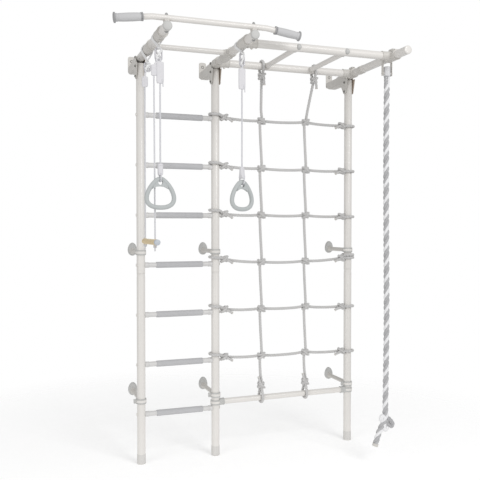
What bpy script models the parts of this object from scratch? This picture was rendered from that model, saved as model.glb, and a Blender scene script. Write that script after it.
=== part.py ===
"""Wall bars: a ladder of seven rungs on round posts, held off a wall, with arms that reach forward over the posts.

The arms carry a pull-up bar, two overhead rungs between two rails, a climbing net, a climbing rope, two rings on
cords and a trapeze bar. Sizes are in millimetres and become metres when a mesh is made. X runs to the right, the
forward direction away from the wall is -Y, and Z is up from the floor. The origin is under the middle post.
"""
import math

import bmesh
import bpy
from mathutils import Matrix, Vector

MM = 0.001
GAP = 0.3
WELD = 0.002
NET_WELD = 0.8

# Ladder and net bay
LADDER_WIDTH = 390.0
NET_WIDTH = 771.6
POST_X = {"left": -LADDER_WIDTH, "middle": 0.0, "right": NET_WIDTH}
POST_RADIUS = 21.0
POST_WALL = 2.0
POST_TOP = 2001.0
POST_SEAM = 957.0
SPIGOT_LENGTH = 60.0
SPIGOT_WALL = 2.0
FOOT_RADIUS = 23.5
FOOT_HEIGHT = 50.0
FOOT_FLOOR = 6.0
POST_SIDES = 12

# Ladder rungs
RUNG_COUNT = 7
FIRST_RUNG = 248.6
RUNG_PITCH = 250.0
RUNG_RADIUS = 12.5
RUNG_WALL = 2.0
FERRULE_RADIUS = 14.5
FERRULE_LENGTH = 17.0
PLUG_DEPTH = 8.0
STUD_RADIUS = 4.0
STUD_REACH = 12.0
STUD_HEAD_RADIUS = 8.0
STUD_HEAD_HEIGHT = 4.5
GRIP_START_SHARE = 0.163
GRIP_END_SHARE = 0.861
RUNG_GRIP_RADIUS = 15.5
RUNG_SIDES = 8

# Wall and wall brackets
WALL_FORWARD = -235.0
PLATE_HALF_WIDTH = 20.0
PLATE_BOTTOM = 2000.0
PLATE_TOP = 2089.0
PLATE_THICKNESS = 4.0
PLATE_HOLE_Z = 2064.0
PLATE_HOLE_RADIUS = 4.5
CHANNEL_BOTTOM = 1985.0
CHANNEL_TOP = 2040.0
CHANNEL_WALL = 3.0
CHANNEL_FRONT = -26.0
CHANNEL_CORNER = 30.0
CHEEK_THICKNESS = 3.0
CHEEK_REAR = -95.0
CHEEK_NOSE = 12.0
CHEEK_FRONT = 40.0
CHEEK_BOTTOM = 1925.0
CHEEK_BOTTOM_REAR = -8.0
CHEEK_BOTTOM_FRONT = 15.0
CHEEK_HEEL = -50.0
BRACKET_BOLT_RADIUS = 4.0
BRACKET_HEAD_RADIUS = 7.0
BRACKET_HEAD_HEIGHT = 4.5
POST_BOLT_Z = (1988.0, 1938.0)
BOLT_SIDES = 6

# Stand-offs
STANDOFF_HEIGHT = {"upper": 1062.0, "lower": 317.0}
FLANGE_HALF_WIDTH = 20.0
FLANGE_HALF_HEIGHT = 34.5
FLANGE_RISE = 9.5
FLANGE_THICKNESS = 9.0
FLANGE_POINTS = 10
STANDOFF_ARM_RADIUS = 9.0
EYE_SIDES = 10
CLAMP_RADIUS = 25.5
CLAMP_HALF_HEIGHT = 12.5
LUG_HALF_WIDTH = 6.0
LUG_REACH = 12.0

# Arms
ARM_RADIUS = 20.0
ARM_WALL = 2.0
ARM_Z = 2027.6
ARM_REAR = -24.0
ARM_FRONT = 589.0
END_PLUG = 10.0
END_PLUG_GROOVE = 1.5
ARM_SIDES = 12
RIGHT_COLLAR = (131.0, 165.0)
RIGHT_COLLAR_RADIUS = 22.0

# Cross tube between the left and the middle arm
CROSS_FORWARD = 245.0
CROSS_RADIUS = 12.5
SPLICE_REAR = 145.0
SPLICE_FRONT = 272.0
SPLICE_RADIUS = 23.5

# Rails and their T-clamps
RAIL_RADIUS = 19.0
RAIL_WALL = 2.0
RAIL_SIDES = 12
BORE_SIDES = 8
FRONT_RAIL = 446.0
REAR_RAIL = 43.0
FRONT_SLEEVE = (418.0, 495.0)
REAR_SLEEVE = (14.0, 76.0)
SLEEVE_RADIUS = 24.0
BRANCH_RADIUS = 22.0
BRANCH_REACH = 60.0
NUT_RADIUS = 6.0
NUT_HEIGHT = 5.0
NUT_OFFSET = 34.0
EAR_HALF_WIDTH = 9.0
EAR_HEIGHT = 36.0
EAR_LENGTH = 40.0

# Overhead rungs between the rails
OVERHEAD_X = {"left": 264.0, "right": 516.0}
OVERHEAD_RADIUS = 12.5
OVERHEAD_WALL = 2.0
COLLAR_RADIUS = 15.5
COLLAR_LENGTH = 12.0
DOME_RADIUS = 7.0
DOME_HEIGHT = 5.0

# Pull-up bar
PULL_FORWARD = 564.0
PULL_RADIUS = 12.5
PULL_WALL = 2.0
SADDLE_HEIGHT = 5.3
PULL_Z = ARM_Z + ARM_RADIUS + SADDLE_HEIGHT + PULL_RADIUS
PULL_STRAIGHT = 60.0
PULL_BEND_DEGREES = 7.5
HANDLE_START = 100.0
HANDLE_LENGTH = 122.0
HANDLE_RADIUS = 17.0
HANDLE_CROWN = 0.8
HANDLE_END_RADIUS = 22.0
HANDLE_END_WALL = 4.0
HANDLE_SIDES = 10

# Net bar and climbing net
NET_BAR_Z = {"middle": 278.0, "right": 284.0}
NET_BAR_RADIUS = 13.0
NET_BAR_WALL = 2.0
NET_TEE_REACH = 46.0
NET_TEE_RADIUS = 16.5
NET_ROPE = 16.0
NET_KNOT = 15.0
NET_LEFT_KNOT_X = 58.0
NET_RIGHT_KNOT_INSET = 41.6
NET_COLUMN_X = (254.0, 511.0)
NET_TOP_PLAY = 0.8
NET_TOP_KNOT = 1975.0
NET_BOTTOM_KNOT = 347.0
NET_TAIL = 42.0
KNOT_SWELL = 1.85
# Each row of the net: height at the middle post, at its left knot, at the two columns, at its right knot and post
NET_ROWS = (
    (1767.0, 1758.0, 1750.0, 1756.0, 1749.0, 1746.0),
    (1517.0, 1507.0, 1499.0, 1499.0, 1499.0, 1497.0),
    (1272.0, 1257.0, 1253.0, 1252.0, 1248.5, 1246.0),
    (1029.0, 1022.0, 1003.0, 1004.0, 1017.0, 1020.0),
    (776.0, 760.0, 755.0, 756.0, 748.5, 750.0),
    (526.0, 511.0, 504.0, 507.0, 501.0, 501.0),
)
NET_LOOP_RISE = 5.0
NET_DOUBLE_ROW = 3
NET_DOUBLE_RISE = 15.0

# Slings and links: arm, forward at the arm, forward at the link, top and bottom of the link, half width of the link
SLING_WIDTH = 20.0
SLING_THICKNESS = 3.0
EYE_HALF_LENGTH = 4.5
WIRE_RADIUS = 3.5
EYE_PLAY = 1.0
EYE_WALL = 3.0
LINK_CORNER = 4.0
SLINGS = {
    "left_front": ("left", 380.0, 412.0, 1981.0, 1920.0, 22.0),
    "left_rear": ("left", 168.0, 172.0, 1970.0, 1923.0, 22.0),
    "right": ("middle", 380.0, 412.0, 1990.0, 1925.0, 14.0),
}

# Rings and their cords: sling, offset from the arm, bottom of the ring, its turn about the cord
CORD_RADIUS = 4.0
RINGS = {
    "left": ("left_front", 7.0, 1266.0, 0.0),
    "right": ("right", 0.0, 1261.5, 23.0),
}
RING_TUBE = 10.0
RING_HALF_WIDTH = 74.0
RING_HEIGHT = 146.5
RING_WIDEST = 55.0
RING_WEB_HALF = 8.0
RING_HOLE_RADIUS = 10.0
RING_HOLE_DROP = 26.5
RING_WEB_DEPTH = 45.0
RING_ADJUSTER = (1823.0, 1906.0)
RING_ADJUSTER_WIDTH = 32.0
RING_ADJUSTER_DEPTH = 11.0
RING_SLEEVE_WIDTH = 23.0
RING_SLEEVE_DEPTH = 15.0
RING_SLEEVE_HEIGHT = 52.0
RING_SLEEVE_RISE = 5.5
RING_LOOP_RADIUS = 3.5

# Trapeze: bar between two cords on the left arm
TRAPEZE_X = -12.0
TRAPEZE_EYE_X = -9.5
TRAPEZE_Z = 1122.0
TRAPEZE_RADIUS = 13.0
TRAPEZE_REAR = 148.0
TRAPEZE_FRONT = 442.0
TRAPEZE_FRONT_CORD = 388.5
TRAPEZE_REAR_CORD = 172.0
TRAPEZE_CAP = 22.0
TRAPEZE_KNOT = 8.5
TRAPEZE_TAIL = 22.0
# Adjusters: sling, offset from the arm, bottom, top, width
TRAPEZE_ADJUSTERS = {
    "front": ("left_front", -20.5, 1855.0, 1905.0, 20.0),
    "rear": ("left_rear", -12.0, 1852.0, 1903.0, 23.0),
}
TRAPEZE_ADJUSTER_DEPTH = 10.0
DIMPLE_RISE = 1.0

# Climbing rope and its hanger
ROPE_FORWARD = 400.0
ROPE_RADIUS = 14.7
ROPE_BOTTOM = 87.0
ROPE_KNOT_Z = 207.0
ROPE_KNOT_RADIUS = 36.0
ROPE_KNOT_HALF_HEIGHT = 42.0
ROPE_STRAND = 7.0
ROPE_STRAND_X = 9.0
ROPE_NECK = 1903.0
YOKE_HALF_WIDTH = 25.0
YOKE_THICKNESS = 3.0
YOKE_DEPTH = 16.0
PIN_Z = 1955.0
PIN_RADIUS = 5.0
SHEATH_TOP = 1987.0
SHEATH_BOTTOM = 1941.0
SHEATH_HALF_WIDTH = 17.5
SHEATH_HALF_DEPTH = 14.0
YOKE_FOOT = 12.0

RIGHT = (1, 0, 0)
FORWARD = (0, 1, 0)
UP = (0, 0, 1)
DOWN = (0, 0, -1)

# Finishes: colour, roughness, metallic
PAINT = ((0.80, 0.79, 0.76), 0.42, 0.0)
CLAMP_GREY = ((0.66, 0.66, 0.63), 0.5, 0.0)
GRIP_GREY = ((0.55, 0.55, 0.56), 0.75, 0.0)
HANDLE_GREY = ((0.42, 0.42, 0.43), 0.8, 0.0)
ROPE_GREY = ((0.70, 0.70, 0.70), 0.9, 0.0)
WEBBING = ((0.80, 0.80, 0.78), 0.85, 0.0)
STEEL = ((0.75, 0.75, 0.77), 0.3, 1.0)
CORD_WHITE = ((0.84, 0.83, 0.87), 0.85, 0.0)
RING_GREY = ((0.50, 0.52, 0.51), 0.5, 0.0)
WOOD = ((0.78, 0.62, 0.42), 0.55, 0.0)


def clear_scene():
    for obj in list(bpy.data.objects):
        bpy.data.objects.remove(obj)


def place(x, forward, z):
    """A point given as right, forward and up, in the script's own axes."""
    return Vector((x, -forward, z))


def bore_radius(radius, sides):
    """Radius of a many-sided hole that clears a round bar of this radius by the gap, however either is turned."""
    return (radius + GAP) / math.cos(math.pi / sides)


def matched_bore(radius, sides):
    """Radius of a hole round a bar with as many sides and the same turn, a gap away all round."""
    return radius + GAP / math.cos(math.pi / sides)


def link_object(name, mesh):
    obj = bpy.data.objects.new(name, mesh)
    bpy.context.scene.collection.objects.link(obj)
    return obj


def solid(bm, name="tool"):
    """Turn a mesh drawn in millimetres into an object in metres whose faces point out."""
    bmesh.ops.recalc_face_normals(bm, faces=bm.faces)
    bm.transform(Matrix.Scale(MM, 4))
    mesh = bpy.data.meshes.new(name)
    bm.to_mesh(mesh)
    bm.free()
    return link_object(name, mesh)


def loft(rings, closed=False):
    """Join rings of points, each with as many points, by faces; the ends are capped unless the loft is closed."""
    bm = bmesh.new()
    rows = [[bm.verts.new(point) for point in ring] for ring in rings]
    count = len(rows[0])
    pairs = list(zip(rows, rows[1:]))
    if closed:
        pairs.append((rows[-1], rows[0]))
    for low, high in pairs:
        for i in range(count):
            j = (i + 1) % count
            bm.faces.new((low[i], low[j], high[j], high[i]))
    if not closed:
        bm.faces.new(list(reversed(rows[0])))
        bm.faces.new(rows[-1])
    return solid(bm)


def turned(profile, start, direction, sides=POST_SIDES):
    """Turn a closed profile of (along, radius) points about the line from start along direction."""
    axis = place(*direction).normalized()
    turn = axis.to_track_quat("Z", "Y").to_matrix()
    origin = place(*start)
    bm = bmesh.new()
    rows = []
    for along, radius in profile:
        if radius == 0:
            rows.append([bm.verts.new(origin + axis * along)])
            continue
        ring = []
        for i in range(sides):
            angle = 2 * math.pi * i / sides
            spoke = turn @ Vector((radius * math.cos(angle), radius * math.sin(angle), 0))
            ring.append(bm.verts.new(origin + axis * along + spoke))
        rows.append(ring)
    for low, high in zip(rows, rows[1:] + rows[:1]):
        if len(low) == 1 and len(high) == 1:
            continue
        for i in range(sides):
            j = (i + 1) % sides
            if len(low) == 1:
                bm.faces.new((low[0], high[j], high[i]))
            elif len(high) == 1:
                bm.faces.new((low[i], low[j], high[0]))
            else:
                bm.faces.new((low[i], low[j], high[j], high[i]))
    return solid(bm)


def rod(start, direction, length, radius, sides=POST_SIDES):
    return turned([(0, 0), (0, radius), (length, radius), (length, 0)], start, direction, sides)


def plate_across_x(outline, low, high):
    """Extrude an outline of (forward, z) points from x = low to x = high."""
    return loft([[place(x, f, z) for f, z in outline] for x in (low, high)])


def plate_across_forward(outline, low, high):
    """Extrude an outline of (x, z) points from forward = low to forward = high."""
    return loft([[place(x, f, z) for x, z in outline] for f in (low, high)])


def block(x, forward, z):
    """A box between pairs of values."""
    return plate_across_x([(forward[0], z[0]), (forward[1], z[0]), (forward[1], z[1]), (forward[0], z[1])], *x)


def rounded(corners, radius, steps=3):
    """Round every corner of an outline with an arc that touches both of its sides."""
    outline = []
    count = len(corners)
    for i in range(count):
        corner = Vector(corners[i])
        before = (Vector(corners[i - 1]) - corner).normalized()
        after = (Vector(corners[(i + 1) % count]) - corner).normalized()
        half = before.angle(after) / 2
        reach = radius / math.tan(half)
        centre = corner + (before + after).normalized() * radius / math.sin(half)
        first = corner + before * reach - centre
        last = corner + after * reach - centre
        for step in range(steps + 1):
            spoke = first.lerp(last, step / steps).normalized() * radius
            outline.append(tuple(centre + spoke))
    return outline


def smooth_route(points, steps, closed=False):
    """Points on a smooth curve through the route's own points."""
    route = [Vector(point) for point in points]
    count = len(route)
    spans = count if closed else count - 1
    out = []
    for i in range(spans):
        if closed:
            a, b, c, d = (route[(i + k) % count] for k in (-1, 0, 1, 2))
        else:
            b, c = route[i], route[i + 1]
            a = route[i - 1] if i else b * 2 - c
            d = route[i + 2] if i + 2 < count else c * 2 - b
        for step in range(steps):
            t = step / steps
            out.append(0.5 * (2 * b + (c - a) * t + (2 * a - 5 * b + 4 * c - d) * t * t
                              + (3 * b - a - 3 * c + d) * t ** 3))
    if not closed:
        out.append(route[-1])
    return out


def tube_along(points, radius, closed=False, resolution=1, swell=None):
    """A round bar or cord along points: a curve with a bevel and filled caps, turned into a mesh.

    swell holds a share of the radius for each point, where the cord thickens to a knot.
    """
    curve = bpy.data.curves.new("route", "CURVE")
    curve.dimensions = "3D"
    curve.bevel_depth = radius * MM
    curve.bevel_resolution = resolution
    curve.render_resolution_u = 0
    curve.use_fill_caps = True
    spline = curve.splines.new("POLY")
    spline.points.add(len(points) - 1)
    for index, (target, point) in enumerate(zip(spline.points, points)):
        target.co = (*(point * MM), 1)
        target.radius = swell[index] if swell else 1
    spline.use_cyclic_u = closed
    guide = link_object("route", curve)
    graph = bpy.context.evaluated_depsgraph_get()
    mesh = bpy.data.meshes.new_from_object(guide.evaluated_get(graph))
    bpy.data.objects.remove(guide)
    bm = bmesh.new()
    bm.from_mesh(mesh)
    bmesh.ops.remove_doubles(bm, verts=bm.verts, dist=1e-6)
    bmesh.ops.recalc_face_normals(bm, faces=bm.faces)
    bm.to_mesh(mesh)
    bm.free()
    return link_object("tool", mesh)


def ball(centre, radii, sides=6, rings=3):
    """A rounded lump with its own radius along right, forward and up."""
    profile = [(math.sin(math.pi * i / rings - math.pi / 2), math.cos(math.pi * i / rings - math.pi / 2))
               for i in range(rings + 1)]
    profile = [(along, 0 if abs(radius) < 1e-6 else radius) for along, radius in profile]
    lump = turned(profile, (0, 0, 0), UP, sides)
    stretch = Matrix.Diagonal((radii[0], radii[1], radii[2], 1))
    lump.data.transform(Matrix.Translation(place(*centre) * MM) @ stretch)
    return lump


def combine(base, tools, operation, self_crossing=False, weld=WELD):
    """Join the tools to a piece, or cut them out of it, in one step, and drop edges shorter than weld."""
    group = bpy.data.collections.new("tools")
    for tool in tools:
        group.objects.link(tool)
    step = base.modifiers.new("combine", "BOOLEAN")
    step.operation = operation
    step.solver = "EXACT"
    step.use_self = self_crossing
    step.operand_type = "COLLECTION"
    step.collection = group
    graph = bpy.context.evaluated_depsgraph_get()
    mesh = bpy.data.meshes.new_from_object(base.evaluated_get(graph))
    base.modifiers.clear()
    bm = bmesh.new()
    bm.from_mesh(mesh)
    bmesh.ops.remove_doubles(bm, verts=bm.verts, dist=WELD * MM)
    bmesh.ops.dissolve_degenerate(bm, dist=weld * MM, edges=bm.edges)
    bm.to_mesh(mesh)
    bm.free()
    base.data = mesh
    for tool in tools:
        bpy.data.objects.remove(tool)
    bpy.data.collections.remove(group)
    return base


def fuse(base, tools):
    return combine(base, tools, "UNION")


def cut(base, tools):
    return combine(base, tools, "DIFFERENCE")


def joint_pivot(name, point, parent=None):
    """An empty on a joint's axis, carried by the pivot before it."""
    empty = link_object(name, None)
    empty.empty_display_size = 0.05
    return hang(empty, point, parent)


def hang(obj, point, parent):
    """Put an object's own origin at a point and hang it on a pivot; every pivot keeps the world's axes."""
    origin = place(*point) * MM
    if obj.data:
        obj.data.transform(Matrix.Translation(-origin))
    obj.parent = parent
    obj.location = origin
    while parent:
        obj.location -= parent.location
        parent = parent.parent
    return obj


def finish(obj, name, look):
    """Name a piece, give it its own material and shade its round faces smooth."""
    colour, roughness, metallic = look
    obj.name = name
    obj.data.name = name
    finish_material = bpy.data.materials.new(name)
    finish_material.use_nodes = True
    shader = finish_material.node_tree.nodes["Principled BSDF"]
    shader.inputs["Base Color"].default_value = (*colour, 1)
    shader.inputs["Roughness"].default_value = roughness
    shader.inputs["Metallic"].default_value = metallic
    obj.data.materials.clear()
    obj.data.materials.append(finish_material)
    obj.data.shade_smooth()
    obj.data.set_sharp_from_angle(angle=math.radians(35))
    return obj


def rung_heights():
    return [FIRST_RUNG + RUNG_PITCH * i for i in range(RUNG_COUNT)]


def rung_stud(post, z):
    """Bolt through a ladder post: domed head on the outer side, shank that reaches into the rung."""
    side = 1 if post == "left" else -1
    head = POST_RADIUS + STUD_HEAD_HEIGHT
    bed = POST_RADIUS - POST_WALL * 0.6
    profile = [(-head, 0), (-head, STUD_HEAD_RADIUS * 0.6), (-bed, STUD_HEAD_RADIUS), (-bed, STUD_RADIUS),
               (POST_RADIUS + STUD_REACH, STUD_RADIUS), (POST_RADIUS + STUD_REACH, 0)]
    return turned(profile, (POST_X[post], 0, z), (side, 0, 0), 6)


def lower_post(post):
    """Lower length of a post with its rubber foot cap."""
    inner = POST_RADIUS - POST_WALL
    profile = [(0, 0), (0, FOOT_RADIUS), (FOOT_HEIGHT, FOOT_RADIUS - 0.6), (FOOT_HEIGHT, POST_RADIUS),
               (POST_SEAM, POST_RADIUS), (POST_SEAM, inner),
               (FOOT_FLOOR, inner), (FOOT_FLOOR, 0)]
    body = turned(profile, (POST_X[post], 0, 0), UP)
    if post != "right":
        fuse(body, [rung_stud(post, z) for z in rung_heights() if z < POST_SEAM])
    return finish(body, "post_lower_" + post, PAINT)


def upper_post(post):
    """Upper length: its reduced spigot slides into the lower one."""
    inner = POST_RADIUS - POST_WALL
    spigot = inner - GAP / math.cos(math.pi / POST_SIDES) - 0.1
    spigot_inner = spigot - SPIGOT_WALL
    profile = [(POST_SEAM - SPIGOT_LENGTH, spigot_inner), (POST_SEAM - SPIGOT_LENGTH, spigot),
               (POST_SEAM + GAP, spigot), (POST_SEAM + GAP, POST_RADIUS), (POST_TOP, POST_RADIUS),
               (POST_TOP, inner), (POST_SEAM + 8, inner), (POST_SEAM + 3, spigot_inner)]
    body = turned(profile, (POST_X[post], 0, 0), UP)
    if post != "right":
        fuse(body, [rung_stud(post, z) for z in rung_heights() if z > POST_SEAM])
    hole = matched_bore(BRACKET_BOLT_RADIUS, BOLT_SIDES)
    span = POST_RADIUS + 5
    cut(body, [rod((POST_X[post] - span, 0, z), RIGHT, 2 * span, hole, BOLT_SIDES) for z in POST_BOLT_Z])
    return finish(body, "post_upper_" + post, PAINT)


def rung(number, z):
    """Rung tube with end ferrules that saddle on the posts; the end plugs have a hole for the post's stud."""
    start = 10
    collar = POST_RADIUS + FERRULE_LENGTH
    plug = POST_RADIUS + PLUG_DEPTH
    hole = bore_radius(STUD_RADIUS, RUNG_SIDES)
    inner = RUNG_RADIUS - RUNG_WALL
    half = [(start, FERRULE_RADIUS), (collar, FERRULE_RADIUS), (collar, RUNG_RADIUS)]
    inside = [(start, hole), (plug, hole), (plug, inner)]
    profile = half + [(LADDER_WIDTH - along, radius) for along, radius in reversed(half)]
    profile += [(LADDER_WIDTH - along, radius) for along, radius in inside]
    profile += list(reversed(inside))
    body = turned(profile, (POST_X["left"], 0, z), RIGHT, RUNG_SIDES)
    saddle = matched_bore(POST_RADIUS, POST_SIDES)
    depth = 2 * FERRULE_RADIUS
    cut(body, [rod((POST_X[post], 0, z - depth), UP, 2 * depth, saddle) for post in ("left", "middle")])
    return finish(body, "rung_%d" % number, PAINT)


def rung_grip(number, z):
    """Soft sleeve over a rung."""
    clear_span = LADDER_WIDTH - 2 * POST_RADIUS
    first = POST_RADIUS + GRIP_START_SHARE * clear_span
    last = POST_RADIUS + GRIP_END_SHARE * clear_span
    hole = matched_bore(RUNG_RADIUS, RUNG_SIDES)
    profile = [(first, hole), (first, RUNG_GRIP_RADIUS), (last, RUNG_GRIP_RADIUS), (last, hole)]
    body = turned(profile, (POST_X["left"], 0, z), RIGHT, RUNG_SIDES)
    return finish(body, "rung_grip_%d" % number, GRIP_GREY)


def through_bolt(x, forward, z, half_span, radius, head_radius, head_height):
    """Bolt along X with a domed head at each end, its heads bedded half a millimetre into what they hold."""
    bed = half_span - 0.5
    tip = half_span + head_height
    profile = [(-tip, 0), (-tip, head_radius * 0.6), (-bed, head_radius), (-bed, radius), (bed, radius),
               (bed, head_radius), (tip, head_radius * 0.6), (tip, 0)]
    return turned(profile, (x, forward, z), RIGHT, BOLT_SIDES)


def wall_bracket(post):
    """Back plate, channel and the two cheek plates that hold the post's top and the arm's rear end."""
    x = POST_X[post]
    cheek_inside = POST_RADIUS + GAP
    cheek_outside = cheek_inside + CHEEK_THICKNESS
    channel_outside = cheek_inside + 0.5
    channel_inside = channel_outside - CHANNEL_WALL
    corners = [(x - PLATE_HALF_WIDTH, PLATE_BOTTOM), (x + PLATE_HALF_WIDTH, PLATE_BOTTOM),
               (x + PLATE_HALF_WIDTH, PLATE_TOP), (x - PLATE_HALF_WIDTH, PLATE_TOP)]
    plate_front = WALL_FORWARD + PLATE_THICKNESS
    body = plate_across_forward(rounded(corners, 6, 1), WALL_FORWARD, plate_front)
    rear = plate_front - 1
    corner_steps = 3
    heel = [(rear, CHANNEL_TOP)]
    for step in range(corner_steps + 1):
        angle = math.pi + math.pi / 2 * step / corner_steps
        heel.append((rear + CHANNEL_CORNER * (1 + math.cos(angle)),
                     CHANNEL_BOTTOM + CHANNEL_CORNER * (1 + math.sin(angle))))
    outline = heel + [(CHANNEL_FRONT, CHANNEL_BOTTOM), (CHANNEL_FRONT, CHANNEL_TOP)]
    channel = plate_across_x(outline, x - channel_outside, x + channel_outside)
    hollow = block((x - channel_inside, x + channel_inside), (plate_front + CHANNEL_CORNER * 0.35, 0),
                   (CHANNEL_BOTTOM + CHANNEL_WALL, CHANNEL_TOP + 20))
    cut(channel, [hollow])
    sleeve_clear = ARM_Z - SLEEVE_RADIUS - 2 * GAP
    cheek = [(CHEEK_REAR, CHANNEL_BOTTOM), (CHEEK_HEEL, CHANNEL_BOTTOM), (CHEEK_BOTTOM_REAR, CHEEK_BOTTOM),
             (CHEEK_BOTTOM_FRONT, CHEEK_BOTTOM), (CHEEK_FRONT, sleeve_clear), (CHEEK_NOSE, sleeve_clear),
             (CHEEK_NOSE, CHANNEL_TOP), (CHEEK_REAR, CHANNEL_TOP)]
    parts = [channel]
    for side in (-1, 1):
        edges = sorted((x + side * cheek_inside, x + side * cheek_outside))
        parts.append(plate_across_x(cheek, *edges))
    for z in POST_BOLT_Z + (ARM_Z,):
        parts.append(through_bolt(x, 0, z, cheek_outside, BRACKET_BOLT_RADIUS, BRACKET_HEAD_RADIUS,
                                  BRACKET_HEAD_HEIGHT))
    fuse(body, parts)
    cut(body, [rod((x, WALL_FORWARD - 5, PLATE_HOLE_Z), FORWARD, 20, PLATE_HOLE_RADIUS, 6)])
    return finish(body, "wall_bracket_" + post, CLAMP_GREY)


def post_clamp(x, z):
    """Ring clamp round a post, before its bore is cut."""
    return rod((x, 0, z - CLAMP_HALF_HEIGHT), UP, 2 * CLAMP_HALF_HEIGHT, CLAMP_RADIUS)


def post_bore(x, z, half_height):
    return rod((x, 0, z - half_height), UP, 2 * half_height, matched_bore(POST_RADIUS, POST_SIDES))


def standoff(level, post):
    """Egg-shaped wall flange, arm and ring clamp that hold a post off the wall."""
    x = POST_X[post]
    z = STANDOFF_HEIGHT[level]
    rings = []
    for forward, share in ((0, 1.0), (FLANGE_THICKNESS * 0.55, 1.0), (FLANGE_THICKNESS, 0.8)):
        ring = []
        for i in range(FLANGE_POINTS):
            angle = 2 * math.pi * i / FLANGE_POINTS
            narrow = 1 - 0.22 * math.sin(angle)
            ring.append(place(x + share * narrow * FLANGE_HALF_WIDTH * math.cos(angle), WALL_FORWARD + forward,
                              z + FLANGE_RISE + share * FLANGE_HALF_HEIGHT * math.sin(angle)))
        rings.append(ring)
    body = loft(rings)
    root = WALL_FORWARD + FLANGE_THICKNESS - 3
    reach = -POST_RADIUS - 2.5
    arm = turned([(root, 0), (root, STANDOFF_ARM_RADIUS * 1.4), (root + 12, STANDOFF_ARM_RADIUS),
                  (reach, STANDOFF_ARM_RADIUS), (reach, 0)], (x, 0, z), FORWARD, 6)
    lug = block((x - CLAMP_RADIUS - LUG_REACH, x - CLAMP_RADIUS + 3), (-LUG_HALF_WIDTH, LUG_HALF_WIDTH),
                (z - CLAMP_HALF_HEIGHT + 2, z + CLAMP_HALF_HEIGHT - 2))
    if level == "upper":
        lug.data.transform(Matrix.Translation(-place(x, 0, 0) * MM))
        lug.data.transform(Matrix.Rotation(math.radians(-75), 4, "Z"))
        lug.data.transform(Matrix.Translation(place(x, 0, 0) * MM))
    fuse(body, [arm, post_clamp(x, z), lug])
    cut(body, [post_bore(x, z, CLAMP_HALF_HEIGHT + 5)])
    return finish(body, "standoff_%s_%s" % (level, post), CLAMP_GREY)


def arm(post):
    """Arm tube with its round end plug, and the clamp sleeve or collar that the tube carries."""
    x = POST_X[post]
    inner = ARM_RADIUS - ARM_WALL
    plug = ARM_FRONT - END_PLUG
    profile = [(ARM_REAR, inner), (ARM_REAR, ARM_RADIUS)]
    if post == "left":
        profile += sleeve_steps(FRONT_SLEEVE, SLEEVE_RADIUS)
    if post == "right":
        profile += sleeve_steps(RIGHT_COLLAR, RIGHT_COLLAR_RADIUS)
    profile += [(plug - END_PLUG_GROOVE, ARM_RADIUS), (plug - END_PLUG_GROOVE, ARM_RADIUS - 0.8),
                (plug, ARM_RADIUS - 0.8), (plug, ARM_RADIUS), (ARM_FRONT - 2, ARM_RADIUS),
                (ARM_FRONT, ARM_RADIUS - 3), (ARM_FRONT, 0), (plug - 3, 0), (plug - 3, inner)]
    body = turned(profile, (x, 0, ARM_Z), FORWARD, ARM_SIDES)
    if post == "left":
        nut_start = ARM_Z - SLEEVE_RADIUS + 1
        fuse(body, [rod((x, FRONT_RAIL, nut_start), DOWN, NUT_HEIGHT + 1, NUT_RADIUS, 6)])
    span = ARM_RADIUS + 5
    hole = matched_bore(BRACKET_BOLT_RADIUS, BOLT_SIDES)
    tools = [rod((x - span, 0, ARM_Z), RIGHT, 2 * span, hole, BOLT_SIDES)]
    if post != "right":
        tools.append(rod((x, PULL_FORWARD, ARM_Z - span), UP, 2 * span, hole, BOLT_SIDES))
    cut(body, tools)
    return finish(body, "arm_" + post, PAINT)


def sleeve_steps(span, radius):
    """Outline of a collar on the arm's tube."""
    rear, front = span
    return [(rear, ARM_RADIUS), (rear, radius), (front, radius), (front, ARM_RADIUS)]


def arm_sleeve(x, span, radius):
    """Sleeve round an arm, before its bore is cut."""
    rear, front = span
    return rod((x, rear, ARM_Z), FORWARD, front - rear, radius, ARM_SIDES)


def arm_bore(x, span):
    rear, front = span
    return rod((x, rear - 5, ARM_Z), FORWARD, front - rear + 10, matched_bore(ARM_RADIUS, ARM_SIDES), ARM_SIDES)


def cross_tube():
    """Tube between the left and the middle arm, with the splice sleeve that holds each end."""
    left, right = POST_X["left"], POST_X["middle"]
    span = (SPLICE_REAR, SPLICE_FRONT)
    start = ARM_RADIUS + 1
    body = rod((left + start, CROSS_FORWARD, ARM_Z), RIGHT, right - left - 2 * start, CROSS_RADIUS, RUNG_SIDES)
    parts = []
    for x in (left, right):
        parts.append(arm_sleeve(x, span, SPLICE_RADIUS))
        parts.append(rod((x, CROSS_FORWARD + 12, ARM_Z - SPLICE_RADIUS + 1), DOWN, NUT_HEIGHT, NUT_RADIUS, 6))
    fuse(body, parts)
    bore = rod((left, CROSS_FORWARD, ARM_Z), RIGHT, right - left, CROSS_RADIUS - RAIL_WALL, BORE_SIDES)
    cut(body, [bore, arm_bore(left, span), arm_bore(right, span)])
    return finish(body, "cross_tube", PAINT)


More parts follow.
